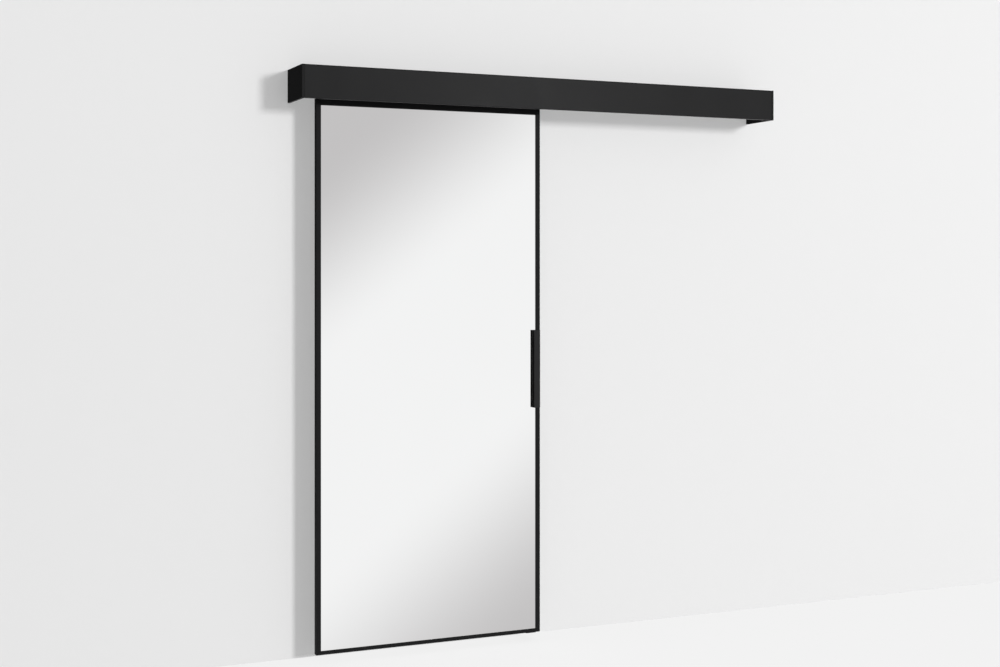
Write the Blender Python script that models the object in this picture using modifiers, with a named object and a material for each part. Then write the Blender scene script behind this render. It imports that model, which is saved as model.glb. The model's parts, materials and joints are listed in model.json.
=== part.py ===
"""Wall-hung sliding door: a framed mirror leaf on two roller carriages under a box pelmet.

Units are metres. X runs along the track, Y points into the mounting plane at Y = 0, and Z is up.
Z = 0 is the top of the track and X = 0 is the middle of the pelmet.
"""

import math
from collections import namedtuple

import bmesh
import bpy
from mathutils import Euler, Matrix, Vector

# Clearances
FIT_GAP = 0.0003
HANGER_CLEARANCE = 0.0054
TRACK_HEADROOM = 0.008
SLOT_CLEARANCE = 0.0025
WHEEL_SIDE_GAP = 0.0008
TRACK_SIDE_CLEARANCE = 0.0032
GUIDE_SIDE_CLEARANCE = 0.0006
GUIDE_TOP_CLEARANCE = 0.0014
GUIDE_ARM_CLEARANCE = 0.0015
KEY_CLEARANCE = 0.001
SCREW_HEAD_CLEARANCE = 0.0005
LIP_CLEARANCE = 0.0025
BACK_CLEARANCE = 0.001

# Leaf
LEAF_WIDTH = 0.900
LEAF_HEIGHT = 2.028
LEAF_THICKNESS = 0.022
LEAF_OFFSET = 0.095
STILE_FACE = 0.018
TOP_RAIL_FACE = 0.0245
BOTTOM_RAIL_FACE = 0.0135
FRAME_WALL = 0.0016
FRAME_LIP = 0.006
FRAME_LIP_WALL = 0.0014
KEY_LEG = 0.024
MIRROR_THICKNESS = 0.004
GASKET_WALL = 0.0008
GASKET_SETBACK = 0.0006

# Pull handle
HANDLE_LENGTH = 0.300
HANDLE_HEIGHT = 1.020
HANDLE_FACE = 0.021
HANDLE_PROJECTION = 0.015
HANDLE_WALL = 0.0025
HANDLE_FLANGE = 0.0021
HANDLE_EDGE = 0.0006
HANDLE_SCREW_INSET = 0.030
HANDLE_SCREW_DIAMETER = 0.004
HANDLE_SCREW_HEAD = 0.007
HANDLE_SCREW_HEAD_HEIGHT = 0.0021
HANDLE_SCREW_LENGTH = 0.012

# Roller carriages
WHEEL_DIAMETER = 0.024
WHEEL_WIDTH = 0.008
WHEEL_CHAMFER = 0.0008
AXLE_DIAMETER = 0.005
AXLE_HEAD_DIAMETER = 0.008
AXLE_HEAD_HEIGHT = 0.0012
AXLE_SPACING = 0.056
CARRIAGE_LENGTH = 0.092
CARRIAGE_WIDTH = 0.012
CARRIAGE_HEIGHT = 0.020
CARRIAGE_CORNER = 0.006
CARRIAGE_INSET = 0.110
CARRIAGE_ROOF = 0.003

# Hangers
HANGER_BOLT_DIAMETER = 0.008
HANGER_BOLT_HEX = 0.013
HANGER_BOLT_HEAD = 0.0053
LOCK_NUT_HEIGHT = 0.0065
HANGER_SHEET = 0.003
HANGER_WIDTH = 0.018
HANGER_FOOT = 0.028
HANGER_HAT = 0.034
HANGER_RISE = 0.0098
HANGER_BEND = 0.0015
HANGER_SCREW_DIAMETER = 0.004
HANGER_SCREW_HEAD = 0.008
HANGER_SCREW_HEAD_HEIGHT = 0.0024
HANGER_SCREW_LENGTH = 0.009

# Track
TRACK_WALL = 0.003
TRACK_BOLT_DIAMETER = 0.006
TRACK_BOLT_HEAD = 0.011
TRACK_BOLT_HEAD_HEIGHT = 0.0033
TRACK_BOLT_STAND = 0.003
STOP_LENGTH = 0.030
STOP_HEIGHT = 0.024
STOP_SCREW_DIAMETER = 0.006
STOP_SCREW_ENTRY = 0.014
STOP_SCREW_HEAD = 0.019
STOP_SCREW_HEAD_HEIGHT = 0.0035
BUFFER_DIAMETER = 0.011
BUFFER_LENGTH = 0.008
BUFFER_NOSE = 0.0022

# Wall brackets
BRACKET_WIDTH = 0.050
BRACKET_SHEET = 0.004
BRACKET_DROP = 0.044
BRACKET_FOOT = 0.010
BRACKET_NOSE = 0.022
BRACKET_OVERHANG = 0.008
BRACKET_END_INSET = 0.150
GUSSET_INSET = 0.0005
GUSSET_TRACK_GAP = 0.006
WALL_HOLE_DIAMETER = 0.007
WALL_HOLE_INSET = 0.012

# Pelmet
PELMET_HEIGHT = 0.122
PELMET_DEPTH = 0.190
PELMET_SHEET = 0.002
PELMET_LIP = 0.012
PELMET_RETURN = 0.010
PELMET_BEND = 0.0008
PELMET_OVERLAP = 0.011
PELMET_CLOSED_MARGIN = 0.0779
PELMET_OPEN_MARGIN = 0.1921
END_CAP_THICKNESS = 0.010
END_CAP_EDGE = 0.0007
END_CAP_PLUG = 0.014
END_CAP_PLUG_WALL = 0.003

# Bottom guide
GUIDE_SHOE_LENGTH = 0.020
GUIDE_SHOE_CORNER = 0.003
GUIDE_SHEET = 0.002
GUIDE_BEND = 0.002
GUIDE_WIDTH = 0.040
GUIDE_FLANGE = 0.040
GUIDE_OVERHANG = 0.004
GUIDE_HOLE_DIAMETER = 0.0055
GUIDE_HOLE_INSET = 0.012
GUIDE_SCREW_DIAMETER = 0.004
GUIDE_SCREW_HEAD = 0.008
GUIDE_SCREW_HEAD_HEIGHT = 0.002
GUIDE_SCREW_SINK = 0.0005

# Facets and working tolerances
ROUND_STEPS = 24
SMALL_STEPS = 16
BEND_STEPS = 3
SHARP_ANGLE = math.radians(35)
FLAT_ANGLE = math.radians(0.05)
WELD_DISTANCE = 0.000001
CUT_DISTANCE = 0.0000001
HEAD_CROWN = 0.3

# Levels, from the track down to the leaf and up to the pelmet
HANGER_HEIGHT = HANGER_RISE + HANGER_SHEET
TRACK_HEIGHT = 2 * TRACK_WALL + WHEEL_DIAMETER + FIT_GAP + TRACK_HEADROOM
TRACK_HALF_INSIDE = (
    CARRIAGE_WIDTH / 2 + WHEEL_SIDE_GAP + WHEEL_WIDTH + FIT_GAP + AXLE_HEAD_HEIGHT + TRACK_SIDE_CLEARANCE
)
TRACK_HALF_WIDTH = TRACK_HALF_INSIDE + TRACK_WALL
SLOT_HALF = HANGER_BOLT_DIAMETER / 2 + SLOT_CLEARANCE
LEDGE_Z = TRACK_WALL - TRACK_HEIGHT
AXLE_Z = LEDGE_Z + FIT_GAP + WHEEL_DIAMETER / 2
HANGER_DROP = 2 * FIT_GAP + HANGER_HEIGHT + LOCK_NUT_HEIGHT + HANGER_CLEARANCE
LEAF_TOP = -TRACK_HEIGHT - HANGER_DROP
LEAF_BOTTOM = LEAF_TOP - LEAF_HEIGHT
PELMET_BOTTOM = LEAF_TOP - PELMET_OVERLAP
PELMET_TOP = PELMET_BOTTOM + PELMET_HEIGHT

# Stations along the track
GUIDE_INSET = KEY_LEG + KEY_CLEARANCE + GUIDE_SHOE_LENGTH / 2
TRAVEL = LEAF_WIDTH - 2 * GUIDE_INSET
PELMET_LENGTH = PELMET_CLOSED_MARGIN + LEAF_WIDTH + TRAVEL + PELMET_OPEN_MARGIN
LEAF_LEFT = PELMET_CLOSED_MARGIN - PELMET_LENGTH / 2
LEAF_RIGHT = LEAF_LEFT + LEAF_WIDTH
LEAF_FRONT = -LEAF_OFFSET - LEAF_THICKNESS / 2
CAP_INSIDE = PELMET_LENGTH / 2 - END_CAP_THICKNESS
PLUG_REAR = BACK_CLEARANCE + PELMET_SHEET + FIT_GAP
PLUG_FRONT = PELMET_DEPTH - PELMET_SHEET - FIT_GAP
PLUG_TOP = PELMET_TOP - PELMET_SHEET - FIT_GAP
EDGE_GAP = 2 * FIT_GAP + GASKET_WALL

# Placing turns: the outline's plane or the turned axis goes along X, Y or Z
ALONG_X = Matrix(((0, 0, 1), (1, 0, 0), (0, 1, 0))).to_euler()
ALONG_Y = (math.pi / 2, 0, 0)
ALONG_Z = (0, 0, 0)
AXIS_DOWN = (math.pi, 0, 0)
AXIS_RIGHT = (0, math.pi / 2, 0)
AXIS_LEFT = (0, -math.pi / 2, 0)

Finish = namedtuple("Finish", "colour roughness metallic")
BLACK_COAT = Finish((0.022, 0.022, 0.023), 0.42, 0.0)
BLACK_ANODISED = Finish((0.020, 0.020, 0.021), 0.36, 0.35)
BLACK_STEEL = Finish((0.030, 0.030, 0.032), 0.55, 0.2)
RAW_ALUMINIUM = Finish((0.62, 0.62, 0.63), 0.38, 1.0)
ZINC_STEEL = Finish((0.55, 0.56, 0.58), 0.34, 1.0)
CAST_ZINC = Finish((0.36, 0.36, 0.37), 0.50, 1.0)
NYLON = Finish((0.72, 0.71, 0.67), 0.45, 0.0)
BLACK_NYLON = Finish((0.016, 0.016, 0.016), 0.50, 0.0)
RUBBER = Finish((0.012, 0.012, 0.012), 0.85, 0.0)
MIRROR = Finish((0.90, 0.91, 0.91), 0.02, 1.0)
BOARD = Finish((0.34, 0.34, 0.33), 0.60, 0.0)


# Scene set-up


def new_collection(name):
    """Return a collection linked to the scene."""
    collection = bpy.data.collections.new(name)
    bpy.context.scene.collection.children.link(collection)
    return collection


def new_empty(name, location):
    """Return an empty that carries the pieces of one moving body."""
    empty = bpy.data.objects.new(name, None)
    empty.location = location
    PARTS.objects.link(empty)
    return empty


def new_material(name, finish):
    """Return a Principled material of one finish."""
    material = bpy.data.materials.new(name)
    material.use_nodes = True
    shader = material.node_tree.nodes["Principled BSDF"]
    shader.inputs["Base Color"].default_value = (*finish.colour, 1)
    shader.inputs["Roughness"].default_value = finish.roughness
    shader.inputs["Metallic"].default_value = finish.metallic
    return material


def add_part(name, mesh, finish, parent, centre, turn=ALONG_Z):
    """Place one sub-part at a world position under its body's empty."""
    mesh.name = name
    mesh.materials.clear()
    mesh.materials.append(new_material(name + "_finish", finish))
    part = bpy.data.objects.new(name, mesh)
    PARTS.objects.link(part)
    part.parent = parent
    part.location = Vector(centre) - parent.location
    part.rotation_euler = turn
    return part


# Shapes


def baked_mesh(holder):
    """Return a working object's evaluated mesh, welded and with flat facets joined, and remove the object."""
    bpy.context.scene.collection.objects.link(holder)
    depsgraph = bpy.context.evaluated_depsgraph_get()
    mesh = bpy.data.meshes.new_from_object(holder.evaluated_get(depsgraph))
    bpy.data.objects.remove(holder)
    shape = bmesh.new()
    shape.from_mesh(mesh)
    bmesh.ops.remove_doubles(shape, verts=shape.verts, dist=WELD_DISTANCE)
    bmesh.ops.dissolve_limit(shape, angle_limit=FLAT_ANGLE, verts=shape.verts, edges=shape.edges)
    bmesh.ops.recalc_face_normals(shape, faces=shape.faces)
    shape.to_mesh(mesh)
    shape.free()
    mesh.shade_smooth()
    mesh.set_sharp_from_angle(angle=SHARP_ANGLE)
    return mesh


def block(width, depth, height, edge=0.0):
    """Return a box, with its edges rounded where an edge radius is given."""
    shape = bmesh.new()
    bmesh.ops.create_cube(shape, size=1, matrix=Matrix.Diagonal((width, depth, height, 1)))
    if edge:
        bmesh.ops.bevel(shape, geom=shape.edges[:], offset=edge, segments=2, profile=0.5, affect="EDGES")
    mesh = bpy.data.meshes.new("block")
    shape.to_mesh(mesh)
    shape.free()
    return mesh


def plate(loops, thickness):
    """Return flat closed loops filled in local XY and given a thickness along local Z."""
    curve = bpy.data.curves.new("outline", "CURVE")
    curve.dimensions = "2D"
    curve.fill_mode = "BOTH"
    curve.extrude = thickness / 2
    for loop in loops:
        spline = curve.splines.new("POLY")
        spline.points.add(len(loop) - 1)
        for point, (x, y) in zip(spline.points, loop):
            point.co = (x, y, 0, 1)
        spline.use_cyclic_u = True
    return baked_mesh(bpy.data.objects.new("outline", curve))


def turned(profile, steps, closed=False):
    """Return a profile of (radius, height) pairs turned about local Z.

    An open profile starts and ends on the axis. A closed one makes a ring.
    """
    shape = bmesh.new()
    verts = [shape.verts.new((radius, 0, height)) for radius, height in profile]
    for upper, lower in zip(verts, verts[1:]):
        shape.edges.new((upper, lower))
    if closed:
        shape.edges.new((verts[-1], verts[0]))
    mesh = bpy.data.meshes.new("profile")
    shape.to_mesh(mesh)
    shape.free()
    holder = bpy.data.objects.new("profile", mesh)
    screw = holder.modifiers.new("turn", "SCREW")
    screw.axis = "Z"
    screw.angle = 2 * math.pi
    screw.steps = steps
    screw.render_steps = steps
    screw.use_merge_vertices = True
    screw.merge_threshold = WELD_DISTANCE
    return baked_mesh(holder)


def arc(centre, radius, start, sweep, steps):
    """Return the points of a circular arc, both ends included."""
    angles = [start + sweep * step / steps for step in range(steps + 1)]
    return [(centre[0] + radius * math.cos(a), centre[1] + radius * math.sin(a)) for a in angles]


def circle(centre, radius, steps=SMALL_STEPS):
    """Return the points of a full circle, for a hole or a disc, with a flat facet on each axis."""
    return arc(centre, radius, math.pi / steps, 2 * math.pi, steps)[:-1]


def hexagon(across_flats):
    """Return a hexagon about the origin."""
    return circle((0, 0), across_flats / math.sqrt(3), 6)


def rounded_rectangle(width, height, radius):
    """Return a rectangle about the origin with round corners."""
    points = []
    for quarter, (side, end) in enumerate(((1, 1), (-1, 1), (-1, -1), (1, -1))):
        centre = (side * (width / 2 - radius), end * (height / 2 - radius))
        points += arc(centre, radius, quarter * math.pi / 2, math.pi / 2, BEND_STEPS)
    return points


def bent_sheet(path, thickness, inner_radius):
    """Return the outline of a sheet folded along a centre line, with round bends."""
    corners = [Vector(point) for point in path]
    left = []
    right = []

    def add_station(point, heading):
        normal = Vector((-heading.y, heading.x)) * thickness / 2
        left.append(point + normal)
        right.append(point - normal)

    add_station(corners[0], (corners[1] - corners[0]).normalized())
    for before, corner, after in zip(corners, corners[1:], corners[2:]):
        heading_in = (corner - before).normalized()
        heading_out = (after - corner).normalized()
        turn = math.atan2(heading_in.cross(heading_out), heading_in.dot(heading_out))
        radius = math.copysign(inner_radius + thickness / 2, turn)
        reach = abs(radius * math.tan(turn / 2))
        start = corner - heading_in * reach
        pivot = start + Vector((-heading_in.y, heading_in.x)) * radius
        for step in range(BEND_STEPS + 1):
            rotation = Matrix.Rotation(turn * step / BEND_STEPS, 2)
            add_station(pivot + rotation @ (start - pivot), rotation @ heading_in)
    add_station(corners[-1], (corners[-1] - corners[-2]).normalized())
    return [tuple(point) for point in left + right[::-1]]


def softened(loop, radius):
    """Return a closed outline with each corner rounded."""
    points = []
    corners = [Vector(point) for point in loop]
    for before, corner, after in zip(corners[-1:] + corners[:-1], corners, corners[1:] + corners[:1]):
        heading_in = (corner - before).normalized()
        heading_out = (after - corner).normalized()
        turn = math.atan2(heading_in.cross(heading_out), heading_in.dot(heading_out))
        start = corner - heading_in * abs(radius * math.tan(turn / 2))
        pivot = start + Vector((-heading_in.y, heading_in.x)) * math.copysign(radius, turn)
        for step in range(BEND_STEPS + 1):
            points.append(tuple(pivot + Matrix.Rotation(turn * step / BEND_STEPS, 2) @ (start - pivot)))
    return points


# Cuts and joins


def combine(target, operation, mesh, centre, turn=ALONG_Z):
    """Cut a shape out of a part, or join one on, by a Boolean with a hidden cutter."""
    cutter = bpy.data.objects.new(target.name + "_cutter", mesh)
    CUTTERS.objects.link(cutter)
    cutter.parent = target.parent
    cutter.location = Vector(centre) - target.parent.location
    cutter.rotation_euler = turn
    cutter.hide_render = True
    cutter.display_type = "WIRE"
    boolean = target.modifiers.new(operation.lower(), "BOOLEAN")
    boolean.operation = operation
    boolean.solver = "EXACT"
    boolean.object = cutter


def part_faces(target, centre, turn):
    """Part a piece's long faces across the middle of a hole that runs along the turned Z axis."""
    local = target.matrix_basis.inverted() @ (Vector(centre) - target.parent.location)
    bore = target.rotation_euler.to_matrix().inverted() @ Euler(turn).to_matrix() @ Vector((0, 0, 1))
    shape = bmesh.new()
    shape.from_mesh(target.data)
    spans = []
    for axis in range(3):
        values = [vertex.co[axis] for vertex in shape.verts]
        spans.append((max(values) - min(values)) * (abs(bore[axis]) < 0.5))
    normal = Vector((0, 0, 0))
    normal[spans.index(max(spans))] = 1
    bmesh.ops.bisect_plane(shape, geom=shape.verts[:] + shape.edges[:] + shape.faces[:], dist=CUT_DISTANCE,
                           plane_co=local, plane_no=normal)
    shape.to_mesh(target.data)
    shape.free()


def drill(target, diameter, depth, centre, turn=ALONG_Z):
    """Bore a straight hole, its middle at the centre given."""
    part_faces(target, centre, turn)
    combine(target, "DIFFERENCE", plate([circle((0, 0), diameter / 2)], depth), centre, turn)


def headed_pin(head_diameter, head_height, diameter, length):
    """Return a turned screw or bolt: head above local Z = 0, shank below it."""
    rim = head_height * HEAD_CROWN
    profile = [
        (0, head_height),
        (head_diameter / 2 - rim, head_height),
        (head_diameter / 2, head_height - rim),
        (head_diameter / 2, 0),
        (diameter / 2, 0),
        (diameter / 2, -length),
        (0, -length),
    ]
    return turned(profile, SMALL_STEPS)


# Fixed parts on the mounting plane


def build_pelmet():
    """Folded cover that hooks behind the brackets, and the two plug-in end caps."""
    half_sheet = PELMET_SHEET / 2
    rear = -BACK_CLEARANCE - half_sheet
    front = half_sheet - PELMET_DEPTH
    path = [
        (rear, PELMET_TOP - PELMET_SHEET - PELMET_LIP),
        (rear, PELMET_TOP - half_sheet),
        (front, PELMET_TOP - half_sheet),
        (front, PELMET_BOTTOM + half_sheet),
        (PELMET_RETURN - PELMET_DEPTH, PELMET_BOTTOM + half_sheet),
    ]
    section = bent_sheet(path, PELMET_SHEET, PELMET_BEND)
    cover_length = 2 * (CAP_INSIDE - FIT_GAP)
    add_part("pelmet_cover", plate([section], cover_length), BLACK_COAT, FIXED, (0, 0, 0), ALONG_X)

    plug_bottom = PELMET_BOTTOM + PELMET_SHEET + FIT_GAP
    plug = [
        (-PLUG_REAR, PLUG_TOP),
        (-PLUG_FRONT, PLUG_TOP),
        (-PLUG_FRONT, plug_bottom),
        (END_CAP_PLUG_WALL - PLUG_FRONT, plug_bottom),
        (END_CAP_PLUG_WALL - PLUG_FRONT, PLUG_TOP - END_CAP_PLUG_WALL),
        (-PLUG_REAR, PLUG_TOP - END_CAP_PLUG_WALL),
    ]
    cap_depth = PELMET_DEPTH - BACK_CLEARANCE
    cap_middle = (PELMET_TOP + PELMET_BOTTOM) / 2
    for side, sign in (("left", -1), ("right", 1)):
        mesh = block(END_CAP_THICKNESS, cap_depth, PELMET_HEIGHT, END_CAP_EDGE)
        centre = (sign * (CAP_INSIDE + END_CAP_THICKNESS / 2), -BACK_CLEARANCE - cap_depth / 2, cap_middle)
        cap = add_part("pelmet_end_cap_" + side, mesh, BLACK_COAT, FIXED, centre)
        root = END_CAP_THICKNESS / 2
        plug_x = sign * (CAP_INSIDE + (root - END_CAP_PLUG) / 2)
        combine(cap, "UNION", plate([plug], END_CAP_PLUG + root), (plug_x, 0, 0), ALONG_X)


def build_brackets():
    """Three gusseted brackets that carry the track on an arm and the pelmet on their top edge."""
    half_sheet = BRACKET_SHEET / 2
    arm_reach = LEAF_OFFSET + TRACK_HALF_WIDTH + BRACKET_OVERHANG
    flange_top = PELMET_TOP - PELMET_SHEET - PELMET_LIP - LIP_CLEARANCE
    gusset_reach = LEAF_OFFSET - TRACK_HALF_WIDTH - GUSSET_TRACK_GAP
    angle = [
        (-BRACKET_SHEET, flange_top),
        (0, flange_top),
        (0, -BRACKET_DROP),
        (-BRACKET_SHEET, -BRACKET_DROP),
        (-BRACKET_SHEET, 0),
        (-arm_reach, 0),
        (-arm_reach, BRACKET_SHEET),
        (-BRACKET_SHEET, BRACKET_SHEET),
    ]
    gusset = [
        (-half_sheet, GUSSET_INSET - BRACKET_DROP),
        (-half_sheet, flange_top + LIP_CLEARANCE / 2),
        (-PLUG_REAR, flange_top + LIP_CLEARANCE / 2),
        (-PLUG_REAR, PLUG_TOP),
        (-PLUG_FRONT, PLUG_TOP),
        (-PLUG_FRONT, PLUG_TOP - BRACKET_NOSE),
        (GUSSET_INSET - arm_reach, half_sheet),
        (-gusset_reach, half_sheet),
        (-BRACKET_SHEET - BRACKET_FOOT, GUSSET_INSET - BRACKET_DROP),
    ]
    hole_levels = (flange_top - WALL_HOLE_INSET, WALL_HOLE_INSET - BRACKET_DROP)
    hole_diameter = TRACK_BOLT_DIAMETER + 2 * FIT_GAP
    bolt_length = TRACK_WALL + 2 * FIT_GAP + BRACKET_SHEET + TRACK_BOLT_STAND
    for name, x in bracket_stations():
        bracket = add_part("wall_bracket_" + name, plate([angle], BRACKET_WIDTH), BLACK_STEEL, FIXED,
                           (x, 0, 0), ALONG_X)
        gusset_x = x - BRACKET_WIDTH / 2 + GUSSET_INSET + half_sheet
        combine(bracket, "UNION", plate([gusset], BRACKET_SHEET), (gusset_x, 0, 0), ALONG_X)
        for level in hole_levels:
            drill(bracket, WALL_HOLE_DIAMETER, 4 * BRACKET_SHEET, (x, -half_sheet, level), ALONG_Y)
        drill(bracket, hole_diameter, 4 * BRACKET_SHEET, (x, -LEAF_OFFSET, half_sheet))
        bolt = headed_pin(TRACK_BOLT_HEAD, TRACK_BOLT_HEAD_HEIGHT, TRACK_BOLT_DIAMETER, bolt_length)
        bolt_seat = (x, -LEAF_OFFSET, -TRACK_WALL - 2 * FIT_GAP)
        add_part("track_bolt_" + name, bolt, ZINC_STEEL, FIXED, bolt_seat, AXIS_DOWN)


def bracket_stations():
    """Return the name and X of each wall bracket."""
    end = PELMET_LENGTH / 2 - BRACKET_END_INSET
    return (("left", -end), ("centre", 0.0), ("right", end))


def build_track():
    """C-section track, slotted below, hung from the bracket arms."""
    inside = TRACK_HALF_INSIDE
    outside = TRACK_HALF_WIDTH
    top = -FIT_GAP
    bottom = -TRACK_HEIGHT
    section = [
        (-outside, top),
        (-outside, bottom),
        (-SLOT_HALF, bottom),
        (-SLOT_HALF, LEDGE_Z),
        (-inside, LEDGE_Z),
        (-inside, top - TRACK_WALL),
        (inside, top - TRACK_WALL),
        (inside, LEDGE_Z),
        (SLOT_HALF, LEDGE_Z),
        (SLOT_HALF, bottom),
        (outside, bottom),
        (outside, top),
    ]
    length = 2 * (CAP_INSIDE - FIT_GAP)
    centre = (0, -LEAF_OFFSET, 0)
    track = add_part("track_rail", plate([section], length), RAW_ALUMINIUM, FIXED, centre, ALONG_X)
    for _, x in bracket_stations():
        hole = (x, -LEAF_OFFSET, top - TRACK_WALL / 2)
        drill(track, TRACK_BOLT_DIAMETER + 2 * FIT_GAP, 3 * TRACK_WALL, hole)


def build_stops():
    """Clamped stops with rubber buffers where the carriages end their travel."""
    width = 2 * (TRACK_HALF_INSIDE - FIT_GAP)
    reach = CARRIAGE_LENGTH / 2 + FIT_GAP
    faces = (
        ("left", -1, LEAF_LEFT + CARRIAGE_INSET - reach, AXIS_RIGHT),
        ("right", 1, LEAF_RIGHT - CARRIAGE_INSET + TRAVEL + reach, AXIS_LEFT),
    )
    screw_length = STOP_SCREW_ENTRY + TRACK_WALL + 2 * FIT_GAP
    hole_depth = STOP_SCREW_ENTRY + FIT_GAP
    for side, sign, face, turn in faces:
        seat = face + sign * (BUFFER_LENGTH + FIT_GAP)
        stop_x = seat + sign * STOP_LENGTH / 2
        stop_z = LEDGE_Z + FIT_GAP + STOP_HEIGHT / 2
        stop = add_part("end_stop_" + side, block(STOP_LENGTH, width, STOP_HEIGHT), CAST_ZINC, FIXED,
                        (stop_x, -LEAF_OFFSET, stop_z))
        drill(stop, STOP_SCREW_DIAMETER + 2 * FIT_GAP, 2 * hole_depth,
              (stop_x, -LEAF_OFFSET, LEDGE_Z + FIT_GAP))
        screw = headed_pin(STOP_SCREW_HEAD, STOP_SCREW_HEAD_HEIGHT, STOP_SCREW_DIAMETER, screw_length)
        add_part("stop_screw_" + side, screw, ZINC_STEEL, FIXED,
                 (stop_x, -LEAF_OFFSET, -TRACK_HEIGHT - FIT_GAP), AXIS_DOWN)
        radius = BUFFER_DIAMETER / 2
        nose_centre = (radius - BUFFER_NOSE, BUFFER_LENGTH - BUFFER_NOSE)
        profile = [(0, BUFFER_LENGTH)]
        profile += arc(nose_centre, BUFFER_NOSE, math.pi / 2, -math.pi / 2, BEND_STEPS)
        profile += [(radius, 0), (0, 0)]
        add_part("stop_buffer_" + side, turned(profile, SMALL_STEPS), RUBBER, FIXED,
                 (face + sign * BUFFER_LENGTH, -LEAF_OFFSET, AXLE_Z), turn)


def build_guide():
    """Bottom guide behind the leaf: a wall angle, and a shoe in the bottom rail, screwed on from above."""
    x = LEAF_RIGHT - GUIDE_INSET
    half_sheet = GUIDE_SHEET / 2
    arm_top = LEAF_BOTTOM - GUIDE_ARM_CLEARANCE
    shoe_width = LEAF_THICKNESS - 2 * (FRAME_WALL + GUIDE_SIDE_CLEARANCE)
    arm_reach = LEAF_OFFSET + shoe_width / 2 - GUIDE_OVERHANG
    flange_top = arm_top - GUIDE_SHEET + GUIDE_FLANGE
    path = [
        (-half_sheet, flange_top),
        (-half_sheet, arm_top - half_sheet),
        (-arm_reach, arm_top - half_sheet),
    ]
    section = bent_sheet(path, GUIDE_SHEET, GUIDE_BEND)
    bracket = add_part("guide_bracket", plate([section], GUIDE_WIDTH), BLACK_STEEL, FIXED, (x, 0, 0), ALONG_X)
    spread = GUIDE_WIDTH / 2 - GUIDE_HOLE_INSET
    for offset in (-spread, spread):
        hole = (x + offset, -half_sheet, flange_top - GUIDE_HOLE_INSET)
        drill(bracket, GUIDE_HOLE_DIAMETER, 4 * GUIDE_SHEET, hole, ALONG_Y)
    hole_diameter = GUIDE_SCREW_DIAMETER + 2 * FIT_GAP
    drill(bracket, hole_diameter, 4 * GUIDE_SHEET, (x, -LEAF_OFFSET, arm_top - half_sheet))

    shoe_foot = arm_top + FIT_GAP
    shoe_top = LEAF_BOTTOM + channel_depth(BOTTOM_RAIL_FACE) - GUIDE_TOP_CLEARANCE
    shoe_height = shoe_top - shoe_foot
    outline = rounded_rectangle(GUIDE_SHOE_LENGTH, shoe_width, GUIDE_SHOE_CORNER)
    shoe = add_part("guide_shoe", plate([outline], shoe_height), BLACK_NYLON, FIXED,
                    (x, -LEAF_OFFSET, shoe_foot + shoe_height / 2))
    head_seat = shoe_top - GUIDE_SCREW_SINK - GUIDE_SCREW_HEAD_HEIGHT
    sink_depth = shoe_top - head_seat + FIT_GAP
    drill(shoe, hole_diameter, 3 * shoe_height, (x, -LEAF_OFFSET, shoe_foot))
    drill(shoe, GUIDE_SCREW_HEAD + 2 * FIT_GAP, 2 * sink_depth, (x, -LEAF_OFFSET, shoe_top))
    screw_length = head_seat - arm_top + GUIDE_SHEET
    screw = headed_pin(GUIDE_SCREW_HEAD, GUIDE_SCREW_HEAD_HEIGHT, GUIDE_SCREW_DIAMETER, screw_length)
    add_part("guide_screw", screw, ZINC_STEEL, FIXED, (x, -LEAF_OFFSET, head_seat))


# Leaf


def channel_depth(face):
    """Return how far a frame member's outer channel or chamber reaches in from its edge."""
    return face - FRAME_LIP - FRAME_WALL


def member_loops(face, open_channel):
    """Return a frame section: outer edge at x = 0, front at y = 0, glazing pocket on the inside."""
    wall = FRAME_WALL
    lip = FRAME_LIP_WALL
    back = LEAF_THICKNESS
    pocket = face - FRAME_LIP
    web = channel_depth(face)
    glazing = [(0, 0), (face, 0), (face, lip), (pocket, lip), (pocket, back - lip), (face, back - lip),
               (face, back), (0, back)]
    if open_channel:
        return [glazing + [(0, back - wall), (web, back - wall), (web, wall), (0, wall)]]
    chamber = [(wall, wall), (web, wall), (web, back - wall), (wall, back - wall)]
    return [glazing, chamber]


def mitred_member(face, length, upper_face, lower_face, open_channel=False):
    """Return a frame member along local Z, mitred at each end to the face that it meets there."""
    mesh = plate(member_loops(face, open_channel), length)
    for vertex in mesh.vertices:
        met = upper_face if vertex.co.z > 0 else lower_face
        cut_back = vertex.co.x * met / face + FIT_GAP / 2 * math.hypot(1, met / face)
        vertex.co.z -= math.copysign(cut_back, vertex.co.z)
    return mesh


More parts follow.
